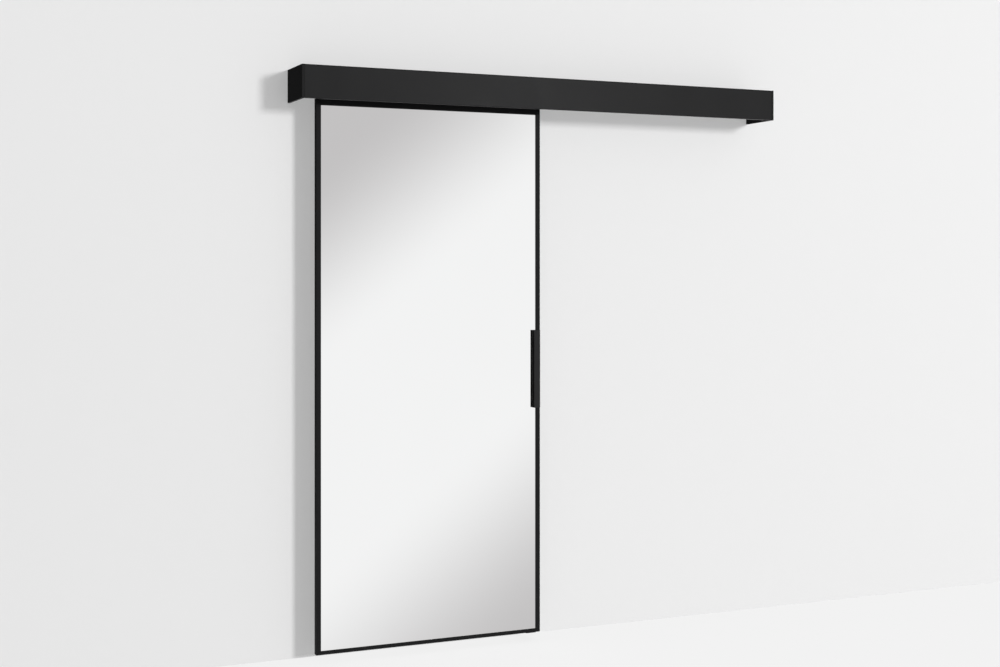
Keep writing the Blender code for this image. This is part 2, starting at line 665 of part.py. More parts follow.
def build_frame():
    """Four mitred frame members round the mirror."""
    middle_x = (LEAF_LEFT + LEAF_RIGHT) / 2
    middle_z = (LEAF_TOP + LEAF_BOTTOM) / 2
    quarter = math.pi / 2
    stile_left = mitred_member(STILE_FACE, LEAF_HEIGHT, TOP_RAIL_FACE, BOTTOM_RAIL_FACE)
    stile_right = mitred_member(STILE_FACE, LEAF_HEIGHT, BOTTOM_RAIL_FACE, TOP_RAIL_FACE)
    top_rail = mitred_member(TOP_RAIL_FACE, LEAF_WIDTH, STILE_FACE, STILE_FACE)
    bottom_rail = mitred_member(BOTTOM_RAIL_FACE, LEAF_WIDTH, STILE_FACE, STILE_FACE, open_channel=True)
    add_part("stile_left", stile_left, BLACK_ANODISED, LEAF, (LEAF_LEFT, LEAF_FRONT, middle_z))
    right = add_part("stile_right", stile_right, BLACK_ANODISED, LEAF, (LEAF_RIGHT, LEAF_FRONT, middle_z),
                     (0, 2 * quarter, 0))
    top = add_part("top_rail", top_rail, BLACK_ANODISED, LEAF, (middle_x, LEAF_FRONT, LEAF_TOP),
                   (0, quarter, 0))
    add_part("bottom_rail", bottom_rail, BLACK_ANODISED, LEAF, (middle_x, LEAF_FRONT, LEAF_BOTTOM),
             (0, -quarter, 0))
    for _, x, z in handle_screws():
        drill(right, HANDLE_SCREW_DIAMETER + 2 * FIT_GAP, 4 * FRAME_WALL, (x, LEAF_FRONT, z), ALONG_Y)
    for _, x in hanger_screws():
        drill(top, HANGER_SCREW_DIAMETER + 2 * FIT_GAP, 4 * FRAME_WALL, (x, -LEAF_OFFSET, LEAF_TOP))


def build_corner_keys():
    """L-shaped keys inside the frame's chambers, one across each mitre."""
    thickness = LEAF_THICKNESS - 2 * (FRAME_WALL + FIT_GAP)
    stile_web = channel_depth(STILE_FACE)
    near = FRAME_WALL + FIT_GAP
    ends = (
        ("top", LEAF_TOP, -1, TOP_RAIL_FACE, near),
        ("bottom", LEAF_BOTTOM, 1, BOTTOM_RAIL_FACE, FIT_GAP),
    )
    for end, level, up, face, rail_near in ends:
        slope = face / STILE_FACE
        rail_web = channel_depth(face)
        upright = min(stile_web, rail_web / slope) - FIT_GAP
        across = min(rail_web, stile_web * slope) - FIT_GAP
        for side, edge, inward in (("left", LEAF_LEFT, 1), ("right", LEAF_RIGHT, -1)):
            corner = [(near, rail_near), (KEY_LEG, rail_near), (KEY_LEG, across), (upright, across),
                      (upright, KEY_LEG), (near, KEY_LEG)]
            loop = [(inward * x, up * z) for x, z in corner]
            add_part("corner_key_%s_%s" % (end, side), plate([loop], thickness), RAW_ALUMINIUM, LEAF,
                     (edge, -LEAF_OFFSET, level), ALONG_Y)


def build_glazing():
    """Mirror pane and backing panel, held in a channel gasket inside the frame's pocket."""
    side = STILE_FACE - FRAME_LIP + EDGE_GAP
    upper = TOP_RAIL_FACE - FRAME_LIP + EDGE_GAP
    lower = BOTTOM_RAIL_FACE - FRAME_LIP + EDGE_GAP
    width = LEAF_WIDTH - 2 * side
    height = LEAF_HEIGHT - upper - lower
    x = (LEAF_LEFT + LEAF_RIGHT) / 2
    z = LEAF_BOTTOM + lower + height / 2
    pocket = LEAF_THICKNESS - 2 * FRAME_LIP_WALL
    sandwich = pocket - 2 * (2 * FIT_GAP + GASKET_WALL)
    backing = sandwich - MIRROR_THICKNESS - FIT_GAP
    front = LEAF_FRONT + FRAME_LIP_WALL + 2 * FIT_GAP + GASKET_WALL
    add_part("mirror_pane", block(width, MIRROR_THICKNESS, height), MIRROR, LEAF,
             (x, front + MIRROR_THICKNESS / 2, z))
    add_part("backing_panel", block(width, backing, height), BOARD, LEAF,
             (x, front + MIRROR_THICKNESS + FIT_GAP + backing / 2, z))

    outer = 2 * (FIT_GAP + GASKET_WALL)
    leg = FRAME_LIP - FIT_GAP - GASKET_SETBACK
    centre = (x, -LEAF_OFFSET, z)
    ring = block(width + outer, pocket - 2 * FIT_GAP, height + outer)
    gasket = add_part("glazing_gasket", ring, RUBBER, LEAF, centre)
    slot = block(width + 2 * FIT_GAP, sandwich + 2 * FIT_GAP, height + 2 * FIT_GAP)
    window = block(width + outer - 2 * leg, 2 * pocket, height + outer - 2 * leg)
    combine(gasket, "DIFFERENCE", slot, centre)
    combine(gasket, "DIFFERENCE", window, centre)


def handle_screws():
    """Return the name, X and Z of each handle screw, over the stile's chamber."""
    x = LEAF_RIGHT - (FRAME_WALL + channel_depth(STILE_FACE)) / 2
    spread = HANDLE_LENGTH / 2 - HANDLE_SCREW_INSET
    centre = LEAF_BOTTOM + HANDLE_HEIGHT
    return (("upper", x, centre + spread), ("lower", x, centre - spread))


def build_handle():
    """Extruded pull, open towards the mirror, screwed to the right stile."""
    screw_x = handle_screws()[0][1]
    wall = HANDLE_WALL
    web = screw_x - HANDLE_SCREW_HEAD / 2 - SCREW_HEAD_CLEARANCE
    inner = web - HANDLE_FACE
    edge = LEAF_RIGHT
    seat = LEAF_FRONT - FIT_GAP
    face = seat - HANDLE_PROJECTION
    section = [
        (edge, seat),
        (inner, seat),
        (inner, seat - wall),
        (web - wall, seat - wall),
        (web - wall, face + wall),
        (inner, face + wall),
        (inner, face),
        (web, face),
        (web, seat - HANDLE_FLANGE),
        (edge, seat - HANDLE_FLANGE),
    ]
    centre_z = LEAF_BOTTOM + HANDLE_HEIGHT
    loop = softened([(px - edge, py - seat) for px, py in section], HANDLE_EDGE)
    handle = add_part("pull_handle", plate([loop], HANDLE_LENGTH), BLACK_COAT, LEAF, (edge, seat, centre_z))
    screw_seat = seat - HANDLE_FLANGE - FIT_GAP
    for name, x, z in handle_screws():
        drill(handle, HANDLE_SCREW_DIAMETER + 2 * FIT_GAP, 4 * wall, (x, seat - wall / 2, z), ALONG_Y)
        screw = headed_pin(HANDLE_SCREW_HEAD, HANDLE_SCREW_HEAD_HEIGHT, HANDLE_SCREW_DIAMETER,
                           HANDLE_SCREW_LENGTH)
        add_part("handle_screw_" + name, screw, ZINC_STEEL, LEAF, (x, screw_seat, z), ALONG_Y)


# Hanging gear


def carriage_stations():
    """Return the name and X of each roller carriage."""
    return (("left", LEAF_LEFT + CARRIAGE_INSET), ("right", LEAF_RIGHT - CARRIAGE_INSET))


def hanger_screws():
    """Return the name and X of each hanger plate screw."""
    reach = HANGER_HAT / 2 + HANGER_FOOT / 2
    screws = []
    for name, x in carriage_stations():
        screws += [(name + "_a", x - reach), (name + "_b", x + reach)]
    return screws


def build_hangers():
    """Top-hat plates on the leaf with bolts up to the carriages, locked by nuts."""
    half_sheet = HANGER_SHEET / 2
    hat = HANGER_HAT / 2
    foot = hat + HANGER_FOOT
    path = [
        (-foot, half_sheet),
        (-hat, half_sheet),
        (-hat, HANGER_RISE + half_sheet),
        (hat, HANGER_RISE + half_sheet),
        (hat, half_sheet),
        (foot, half_sheet),
    ]
    section = bent_sheet(path, HANGER_SHEET, HANGER_BEND)
    seat = LEAF_TOP + FIT_GAP
    bore = HANGER_BOLT_DIAMETER + 2 * FIT_GAP
    roof = AXLE_Z + CARRIAGE_HEIGHT / 2 - CARRIAGE_ROOF - FIT_GAP
    head_top = seat + HANGER_RISE - FIT_GAP
    shank = roof - head_top
    hangers = {}
    for name, x in carriage_stations():
        centre = (x, -LEAF_OFFSET, seat)
        hanger = add_part("hanger_plate_" + name, plate([section], HANGER_WIDTH), ZINC_STEEL, LEAF, centre,
                          ALONG_Y)
        drill(hanger, bore, 4 * HANGER_SHEET, (x, -LEAF_OFFSET, seat + HANGER_HEIGHT))
        head = plate([hexagon(HANGER_BOLT_HEX)], HANGER_BOLT_HEAD)
        bolt = add_part("hanger_bolt_" + name, head, ZINC_STEEL, LEAF,
                        (x, -LEAF_OFFSET, head_top - HANGER_BOLT_HEAD / 2))
        root = HANGER_BOLT_HEAD / 2
        shank_mesh = plate([circle((0, 0), HANGER_BOLT_DIAMETER / 2)], shank + root)
        combine(bolt, "UNION", shank_mesh, (x, -LEAF_OFFSET, head_top + (shank - root) / 2))
        nut = plate([hexagon(HANGER_BOLT_HEX), circle((0, 0), bore / 2)], LOCK_NUT_HEIGHT)
        add_part("lock_nut_" + name, nut, ZINC_STEEL, LEAF,
                 (x, -LEAF_OFFSET, seat + HANGER_HEIGHT + FIT_GAP + LOCK_NUT_HEIGHT / 2))
        hangers[name] = hanger
    screw_seat = seat + HANGER_SHEET + FIT_GAP
    for name, x in hanger_screws():
        hanger = hangers[name.split("_")[0]]
        drill(hanger, HANGER_SCREW_DIAMETER + 2 * FIT_GAP, 3 * HANGER_SHEET,
              (x, -LEAF_OFFSET, seat + half_sheet))
        screw = headed_pin(HANGER_SCREW_HEAD, HANGER_SCREW_HEAD_HEIGHT, HANGER_SCREW_DIAMETER,
                           HANGER_SCREW_LENGTH)
        add_part("hanger_screw_" + name, screw, ZINC_STEEL, LEAF, (x, -LEAF_OFFSET, screw_seat))


def build_carriages():
    """Carriage bodies with two axles each and a wheel on each end of an axle."""
    axle_bore = AXLE_DIAMETER / 2 + FIT_GAP
    bolt_bore = HANGER_BOLT_DIAMETER + 2 * FIT_GAP
    hub = CARRIAGE_WIDTH / 2 + WHEEL_SIDE_GAP
    bore_depth = CARRIAGE_HEIGHT - CARRIAGE_ROOF
    for name, x in carriage_stations():
        loops = [rounded_rectangle(CARRIAGE_LENGTH, CARRIAGE_HEIGHT, CARRIAGE_CORNER)]
        loops += [circle((offset, 0), axle_bore) for offset in (-AXLE_SPACING / 2, AXLE_SPACING / 2)]
        body = add_part("carriage_" + name, plate(loops, CARRIAGE_WIDTH), CAST_ZINC, LEAF,
                        (x, -LEAF_OFFSET, AXLE_Z), ALONG_Y)
        drill(body, bolt_bore, 2 * bore_depth, (x, -LEAF_OFFSET, AXLE_Z - CARRIAGE_HEIGHT / 2))
        for station, offset in (("a", -AXLE_SPACING / 2), ("b", AXLE_SPACING / 2)):
            centre = Vector((x + offset, -LEAF_OFFSET, AXLE_Z))
            add_part("axle_%s_%s" % (name, station), axle_mesh(hub + WHEEL_WIDTH + FIT_GAP), ZINC_STEEL, LEAF,
                     centre, ALONG_Y)
            for place, sign in (("front", -1), ("rear", 1)):
                shift = Vector((0, sign * (hub + WHEEL_WIDTH / 2), 0))
                add_part("wheel_%s_%s_%s" % (name, station, place), wheel_mesh(), NYLON, LEAF,
                         centre + shift, ALONG_Y)


def axle_mesh(half_length):
    """Return a riveted axle: a plain pin with a flat head on each end."""
    pin = AXLE_DIAMETER / 2
    head = AXLE_HEAD_DIAMETER / 2
    end = half_length + AXLE_HEAD_HEIGHT
    profile = [(0, end), (head, end), (head, half_length), (pin, half_length)]
    profile += [(pin, -half_length), (head, -half_length), (head, -end), (0, -end)]
    return turned(profile, SMALL_STEPS)


def wheel_mesh():
    """Return a wheel with a plain bore and chamfered rims."""
    bore = AXLE_DIAMETER / 2 + FIT_GAP
    rim = WHEEL_DIAMETER / 2
    half = WHEEL_WIDTH / 2
    profile = [(bore, half), (rim - WHEEL_CHAMFER, half), (rim, half - WHEEL_CHAMFER)]
    profile += [(rim, WHEEL_CHAMFER - half), (rim - WHEEL_CHAMFER, -half), (bore, -half)]
    return turned(profile, ROUND_STEPS, closed=True)


for leftover in list(bpy.data.objects):
    bpy.data.objects.remove(leftover)
PARTS = new_collection("sliding_door")
CUTTERS = new_collection("cutters")
FIXED = new_empty("fixed_body", (0, 0, 0))
LEAF = new_empty("leaf_body", ((LEAF_LEFT + LEAF_RIGHT) / 2, -LEAF_OFFSET, AXLE_Z))
build_pelmet()
build_brackets()
build_track()
build_stops()
build_guide()
build_frame()
build_corner_keys()
build_glazing()
build_handle()
build_hangers()
build_carriages()
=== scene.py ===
"""Dressed model of a wall-hung sliding door: a framed mirror leaf that rolls under a box pelmet.

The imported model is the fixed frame. X runs along the track, Y points into the mounting plane at
Y = 0, Z is up, and every length is in metres.
"""
import json
import logging
import math
from collections.abc import Sequence
from dataclasses import dataclass
from enum import Enum
from typing import Any, ClassVar, Union

import bmesh
import bpy
from mathutils import Matrix, Vector

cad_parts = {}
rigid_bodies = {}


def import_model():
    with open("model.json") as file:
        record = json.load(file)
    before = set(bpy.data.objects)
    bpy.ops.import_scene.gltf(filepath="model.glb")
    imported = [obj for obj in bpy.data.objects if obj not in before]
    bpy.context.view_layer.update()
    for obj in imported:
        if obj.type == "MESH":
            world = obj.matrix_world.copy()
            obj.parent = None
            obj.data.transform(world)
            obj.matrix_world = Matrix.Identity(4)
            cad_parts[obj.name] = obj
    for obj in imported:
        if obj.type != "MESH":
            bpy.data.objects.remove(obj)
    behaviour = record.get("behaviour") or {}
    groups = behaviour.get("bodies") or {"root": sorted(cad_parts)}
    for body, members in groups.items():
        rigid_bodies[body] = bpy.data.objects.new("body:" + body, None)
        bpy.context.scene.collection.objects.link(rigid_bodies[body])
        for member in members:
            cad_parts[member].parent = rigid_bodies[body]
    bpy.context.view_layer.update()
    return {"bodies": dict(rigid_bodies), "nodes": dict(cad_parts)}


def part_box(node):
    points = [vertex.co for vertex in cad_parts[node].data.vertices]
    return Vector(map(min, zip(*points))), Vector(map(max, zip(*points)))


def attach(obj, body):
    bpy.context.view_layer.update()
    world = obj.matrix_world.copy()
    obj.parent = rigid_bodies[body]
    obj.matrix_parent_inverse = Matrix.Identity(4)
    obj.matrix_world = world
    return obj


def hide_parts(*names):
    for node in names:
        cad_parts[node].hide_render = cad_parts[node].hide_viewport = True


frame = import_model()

LOG = logging.getLogger("sliding_door")
WELD_REACH = 0.000005
CUT_REACH = 0.0000005
FLAT_ANGLE = 0.5
SHARP_ANGLE = 35.0
SOFT_EDGE = 0.0003
EASE_SEGMENTS = 2
FLAT_WEIGHT = 80
HEX_SIDES = 6

Point = tuple[float, float]
Triple = tuple[float, float, float]
Colour = Triple
Operand = Union["Signal", float]
BLACK: Colour = (0.0, 0.0, 0.0)
WHITE: Colour = (1.0, 1.0, 1.0)


class Body(Enum):
    """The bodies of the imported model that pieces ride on."""

    FIXED = "track_frame"
    LEAF = "leaf"
    WHEELS_LEFT_A = "wheels_left_a"
    WHEELS_LEFT_B = "wheels_left_b"
    WHEELS_RIGHT_A = "wheels_right_a"
    WHEELS_RIGHT_B = "wheels_right_b"


class Slot(Enum):
    """The record's material slots that added pieces belong to."""

    ZINC = "zinc_steel"
    BLACK_SCREW = "black_screw"
    CAST = "cast_zinc"
    NYLON = "wheel_nylon"


class Cut(Enum):
    """What one mesh does to another."""

    JOIN = "UNION"
    REMOVE = "DIFFERENCE"
    TRIM = "INTERSECT"


class Facing(Enum):
    """The way that a fastener's head or a wheel's outer side looks."""

    UP = (0.0, 0.0, 1.0)
    DOWN = (0.0, 0.0, -1.0)
    FRONT = (0.0, -1.0, 0.0)
    REAR = (0.0, 1.0, 0.0)

    @property
    def vector(self) -> Vector:
        """Return the direction as a vector."""
        return Vector(self.value)

    @property
    def turn(self) -> Matrix:
        """Return the turn that takes +Z to the direction."""
        return self.vector.to_track_quat("Z", "Y").to_matrix().to_4x4()


class Grain(Enum):
    """The way that draw lines run on an extrusion, as a squeeze of its texture space."""

    ALONG_X = (0.012, 1.0, 1.0)
    ALONG_Y = (1.0, 0.012, 1.0)
    ALONG_Z = (1.0, 1.0, 0.012)


class Drive(Enum):
    """The recess in a fastener's head."""

    CROSS = "cross"
    SOCKET = "socket"


class Signal:
    """A shader socket that takes part in Python arithmetic."""

    def __init__(self, graph: "Graph", socket: bpy.types.NodeSocket) -> None:
        """Keep an output socket and the graph that takes any new node."""
        self.graph = graph
        self.socket = socket

    def _math(self, operation: str, first: Operand, second: Operand) -> "Signal":
        """Return the result of one Math node on two values or links."""
        return self.graph.node("ShaderNodeMath", {"operation": operation}, {0: first, 1: second})

    def __add__(self, other: Operand) -> "Signal":
        """Return self + other."""
        return self._math("ADD", self, other)

    def __radd__(self, other: Operand) -> "Signal":
        """Return other + self."""
        return self._math("ADD", other, self)

    def __sub__(self, other: Operand) -> "Signal":
        """Return self - other."""
        return self._math("SUBTRACT", self, other)

    def __rsub__(self, other: Operand) -> "Signal":
        """Return other - self."""
        return self._math("SUBTRACT", other, self)

    def __mul__(self, other: Operand) -> "Signal":
        """Return self * other."""
        return self._math("MULTIPLY", self, other)

    def __rmul__(self, other: Operand) -> "Signal":
        """Return other * self."""
        return self._math("MULTIPLY", other, self)

    def between(self, low: float, high: float) -> "Signal":
        """Return a smooth step from 0 at low to 1 at high."""
        return self.graph.node("ShaderNodeMapRange", {"interpolation_type": "SMOOTHSTEP"},
                               {"Value": self, "From Min": low, "From Max": high})


class Graph:
    """The node tree of one material or of the world."""

    edge_samples: ClassVar[int] = 6
    edge_span: ClassVar[Point] = (0.01, 0.22)

    def __init__(self, tree: bpy.types.NodeTree) -> None:
        """Keep a node tree that has its default nodes."""
        self.tree = tree

    def plug(self, socket: bpy.types.NodeSocket, value: Any) -> None:
        """Link a signal to an input socket, or set the socket's own value.

        Args:
            socket: The input socket.
            value: A signal, a number, or a tuple for a colour or vector.
        """
        if isinstance(value, Signal):
            self.tree.links.new(value.socket, socket)
        else:
            socket.default_value = value

    def node(self, kind: str, settings: dict[str, Any] | None = None,
             sockets: dict[Any, Any] | None = None, output: int | str = 0) -> Signal:
        """Add one node.

        Args:
            kind: The node's type.
            settings: Attributes, set first.
            sockets: Values or links by socket name or number.
            output: The output socket to return.

        Returns:
            The chosen output.
        """
        made = self.tree.nodes.new(kind)
        for name, value in (settings or {}).items():
            setattr(made, name, value)
        for name, value in (sockets or {}).items():
            self.plug(made.inputs[name], value)
        return Signal(self, made.outputs[output])

    def place(self, squeeze: Triple = (1.0, 1.0, 1.0)) -> Signal:
        """Return object coordinates, squeezed along the axis that lines should run along."""
        spot = self.node("ShaderNodeTexCoord", output="Object")
        return self.node("ShaderNodeVectorMath", {"operation": "MULTIPLY"}, {0: spot, 1: squeeze})

    def noise(self, place: Signal, scale: float, detail: float) -> Signal:
        """Return noise around 0.5, with scale features in a metre and detail finer layers."""
        return self.node("ShaderNodeTexNoise", None,
                         {"Vector": place, "Scale": scale, "Detail": detail})

    def cells(self, place: Signal, scale: float) -> Signal:
        """Return the distance to the nearest of scattered points, scale of them in a metre."""
        return self.node("ShaderNodeTexVoronoi", None, {"Vector": place, "Scale": scale})

    def edge(self, radius: float) -> Signal:
        """Return a mask that is 1 on sharp edges and 0 on flats.

        Args:
            radius: How far from an edge the mask reaches.

        Returns:
            The mask.
        """
        rounded = self.node("ShaderNodeBevel", {"samples": self.edge_samples}, {"Radius": radius})
        flat = self.node("ShaderNodeNewGeometry", output="Normal")
        return (1.0 - self.dot(rounded, flat)).between(*self.edge_span)

    def dot(self, first: Any, second: Any) -> Signal:
        """Return the dot product of two vectors or signals."""
        return self.node("ShaderNodeVectorMath", {"operation": "DOT_PRODUCT"},
                         {0: first, 1: second}, "Value")

    def mix(self, factor: Operand, first: Any, second: Any) -> Signal:
        """Return a mix of two colours or signals.

        Args:
            factor: 0 for the first colour, 1 for the second.
            first: A colour or a signal.
            second: A colour or a signal.

        Returns:
            The mixed colour.
        """
        pair = [item if isinstance(item, Signal) else (*item, 1.0) for item in (first, second)]
        return self.node("ShaderNodeMix", {"data_type": "RGBA"},
                         {0: factor, 6: pair[0], 7: pair[1]}, 2)

    def bump(self, height: Signal, strength: float, distance: float) -> Signal:
        """Return a normal that follows a height from 0 to 1, a distance in metres deep."""
        return self.node("ShaderNodeBump", None,
                         {"Strength": strength, "Distance": distance, "Height": height})

    def surface(self, **sockets: Any) -> None:
        """Set the Principled shader's sockets.

        Args:
            sockets: Values or links by socket name, with _ for a space.
        """
        shader = self.tree.nodes["Principled BSDF"]
        for name, value in sockets.items():
            self.plug(shader.inputs[name.replace("_", " ")], value)


@dataclass(frozen=True)
class Finish:
    """A surface finish that makes its own procedural material, once.

    A noise pattern is a pair of scale and detail, a range or span is a pair of low and high, a
    tone is a factor on the colour, and a relief is a pair of strength and depth.
    """

    name: str
    colour: Colour
    roughness: float
    made: ClassVar[dict[str, bpy.types.Material]] = {}

    def material(self) -> bpy.types.Material:
        """Return the finish's material, made on first use."""
        if self.name not in self.made:
            material = bpy.data.materials.new(self.name)
            material.use_nodes = True
            self.paint(Graph(material.node_tree))
            self.made[self.name] = material
        return self.made[self.name]

    def tone(self, factor: float) -> Colour:
        """Return the colour made lighter by a factor above 1, or darker."""
        return (self.colour[0] * factor, self.colour[1] * factor, self.colour[2] * factor)

    def tint(self, graph: Graph, pattern: Signal, low: float, high: float) -> Signal:
        """Return the colour as it goes from a low tone to a high one with a pattern."""
        return graph.mix(pattern, self.tone(low), self.tone(high))

    def paint(self, graph: Graph) -> None:
        """Lay the finish on a graph."""
        raise NotImplementedError


@dataclass(frozen=True)
class PowderCoat(Finish):
    """Baked powder paint: fine orange peel, cloudy gloss and polished edges."""

    specular: float = 0.06
    cloud: Point = (6.0, 4.0)
    peel: Point = (620.0, 1.0)
    grit: Point = (2480.0, 1.0)
    edge_reach: float = 0.0012
    tint_range: Point = (0.86, 1.14)
    edge_tone: float = 1.4
    relief: Point = (0.22, 0.00025)

    def paint(self, graph: Graph) -> None:
        """Lay the coat: peel in the normal, clouds in the gloss, wear on the edges.

        Args:
            graph: The material's graph.
        """
        place = graph.place()
        cloud = graph.noise(place, *self.cloud)
        peel = graph.noise(place, *self.peel)
        grit = graph.noise(place, *self.grit)
        edge = graph.edge(self.edge_reach)
        tint = self.tint(graph, cloud, *self.tint_range)
        graph.surface(
            Base_Color=graph.mix(edge * 0.5, tint, self.tone(self.edge_tone)),
            Roughness=self.roughness + 0.14 * (cloud - 0.5) + 0.10 * (peel - 0.5) - 0.10 * edge,
            Normal=graph.bump(0.75 * peel + 0.25 * grit, *self.relief),
            Specular_IOR_Level=self.specular,
        )


@dataclass(frozen=True)
class Anodised(Finish):
    """Black anodised extrusion: satin sheen with faint draw lines along its length."""

    grain: Grain = Grain.ALONG_Z
    specular: float = 0.05
    lines: Point = (1500.0, 3.0)
    cloud: Point = (7.0, 3.0)
    pits: Point = (2400.0, 1.0)
    edge_reach: float = 0.0008
    tint_range: Point = (0.75, 1.25)
    edge_tone: float = 1.5
    relief: Point = (0.12, 0.00012)

    def paint(self, graph: Graph) -> None:
        """Lay the film: draw lines in gloss and normal, a paler line on worn edges.

        Args:
            graph: The material's graph.
        """
        lines = graph.noise(graph.place(self.grain.value), *self.lines)
        place = graph.place()
        cloud = graph.noise(place, *self.cloud)
        pits = graph.noise(place, *self.pits)
        edge = graph.edge(self.edge_reach)
        tint = self.tint(graph, 0.6 * lines + 0.4 * cloud, *self.tint_range)
        graph.surface(
            Base_Color=graph.mix(edge * 0.5, tint, self.tone(self.edge_tone)),
            Roughness=self.roughness + 0.16 * (lines - 0.5) + 0.08 * (cloud - 0.5) - 0.06 * edge,
            Normal=graph.bump(0.7 * lines + 0.3 * pits, *self.relief),
            Specular_IOR_Level=self.specular,
        )


@dataclass(frozen=True)
class DipCoat(Finish):
    """Electro-dipped steel: an even black film, thin on edges and dull where it pooled."""

    specular: float = 0.35
    cloud: Point = (22.0, 5.0)
    grit: Point = (1300.0, 2.0)
    edge_reach: float = 0.001
    tint_range: Point = (0.7, 1.35)
    bare_edge: Colour = (0.13, 0.13, 0.135)
    relief: Point = (0.2, 0.0002)

    def paint(self, graph: Graph) -> None:
        """Lay the film: clouds in tint and gloss, grit in the normal, thin edges.

        Args:
            graph: The material's graph.
        """
        place = graph.place()
        cloud = graph.noise(place, *self.cloud)
        grit = graph.noise(place, *self.grit)
        edge = graph.edge(self.edge_reach)
        tint = self.tint(graph, cloud, *self.tint_range)
        graph.surface(
            Base_Color=graph.mix(edge * 0.6, tint, self.bare_edge),
            Roughness=self.roughness + 0.26 * (cloud - 0.5) - 0.12 * edge,
            Normal=graph.bump(grit, *self.relief),
            Specular_IOR_Level=self.specular,
        )


@dataclass(frozen=True)
class DrawnMetal(Finish):
    """Bare drawn aluminium: bright, with long die lines and a few dull smears."""

    grain: Grain = Grain.ALONG_X
    lines: Point = (1100.0, 4.0)
    smear: Point = (14.0, 4.0)
    smear_span: Point = (0.52, 0.74)
    edge_reach: float = 0.0008
    tint_range: Point = (0.84, 1.08)
    smear_tone: float = 0.72
    relief: Point = (0.18, 0.00015)

    def paint(self, graph: Graph) -> None:
        """Lay the metal: die lines in tint, gloss and normal, smears that dull it.

        Args:
            graph: The material's graph.
        """
        lines = graph.noise(graph.place(self.grain.value), *self.lines)
        smear = graph.noise(graph.place(), *self.smear)
        dull = smear.between(*self.smear_span)
        edge = graph.edge(self.edge_reach)
        tint = self.tint(graph, lines, *self.tint_range)
        graph.surface(
            Base_Color=graph.mix(dull * 0.35, tint, self.tone(self.smear_tone)),
            Roughness=self.roughness + 0.18 * (lines - 0.5) + 0.14 * dull - 0.08 * edge,
            Normal=graph.bump(lines, *self.relief),
            Metallic=1.0,
        )


@dataclass(frozen=True)
class ZincPlate(Finish):
    """Zinc-plated steel: cool crystalline patches and fine handling marks."""

    patch_scale: float = 420.0
    cloud: Point = (120.0, 4.0)
    marks: Point = (2600.0, 2.0)
    marks_squeeze: Triple = (1.0, 0.08, 1.0)
    edge_reach: float = 0.0005
    tint_range: Point = (0.78, 1.0)
    patch_tone: float = 1.12
    relief: Point = (0.15, 0.0001)

    def paint(self, graph: Graph) -> None:
        """Lay the plating: patches in the tint, handling marks in gloss and normal.

        Args:
            graph: The material's graph.
        """
        place = graph.place()
        patch = graph.cells(place, self.patch_scale)
        cloud = graph.noise(place, *self.cloud)
        marks = graph.noise(graph.place(self.marks_squeeze), *self.marks)
        edge = graph.edge(self.edge_reach)
        cool = self.tint(graph, cloud, *self.tint_range)
        graph.surface(
            Base_Color=graph.mix(patch * 0.4, cool, self.tone(self.patch_tone)),
            Roughness=self.roughness + 0.22 * (cloud - 0.5) + 0.10 * (marks - 0.5) - 0.08 * edge,
            Normal=graph.bump(0.6 * marks + 0.4 * cloud, *self.relief),
            Metallic=1.0,
        )


@dataclass(frozen=True)
class Casting(Finish):
    """Die-cast zinc: a grey skin with flow marks, fine grain and bright edges."""

    flow: Point = (90.0, 5.0)
    flow_squeeze: Triple = (0.35, 1.0, 1.0)
    grain: Point = (1900.0, 2.0)
    pit_scale: float = 900.0
    pit_span: Point = (0.02, 0.2)
    edge_reach: float = 0.0007
    tint_range: Point = (0.72, 1.2)
    edge_tone: float = 1.7
    relief: Point = (0.3, 0.0002)

    def paint(self, graph: Graph) -> None:
        """Lay the casting skin: flow marks in tint and gloss, grain and pits in the normal.

        Args:
            graph: The material's graph.
        """
        place = graph.place()
        flow = graph.noise(graph.place(self.flow_squeeze), *self.flow)
        grain = graph.noise(place, *self.grain)
        pits = graph.cells(place, self.pit_scale).between(*self.pit_span)
        edge = graph.edge(self.edge_reach)
        tint = self.tint(graph, flow, *self.tint_range)
        graph.surface(
            Base_Color=graph.mix(edge * 0.6, tint, self.tone(self.edge_tone)),
            Roughness=self.roughness + 0.24 * (flow - 0.5) - 0.14 * edge,
            Normal=graph.bump(0.6 * grain + 0.4 * pits, *self.relief),
            Metallic=1.0,
        )


@dataclass(frozen=True)
class Moulding(Finish):
    """Moulded plastic: a spark-eroded skin, slightly polished on its edges."""

    specular: float = 0.015
    spark: Point = (1700.0, 2.0)
    cloud: Point = (40.0, 3.0)
    edge_reach: float = 0.0008
    tint_range: Point = (0.88, 1.1)
    edge_tone: float = 1.3
    relief: Point = (0.25, 0.00018)

    def paint(self, graph: Graph) -> None:
        """Lay the moulded skin: spark texture in tint, gloss and normal, paler edges.

        Args:
            graph: The material's graph.
        """
        place = graph.place()
        spark = graph.noise(place, *self.spark)
        cloud = graph.noise(place, *self.cloud)
        edge = graph.edge(self.edge_reach)
        tint = self.tint(graph, 0.5 * spark + 0.5 * cloud, *self.tint_range)
        graph.surface(
            Base_Color=graph.mix(edge * 0.4, tint, self.tone(self.edge_tone)),
            Roughness=self.roughness + 0.16 * (spark - 0.5) + 0.08 * (cloud - 0.5) - 0.10 * edge,
            Normal=graph.bump(spark, *self.relief),
            Specular_IOR_Level=self.specular,
        )


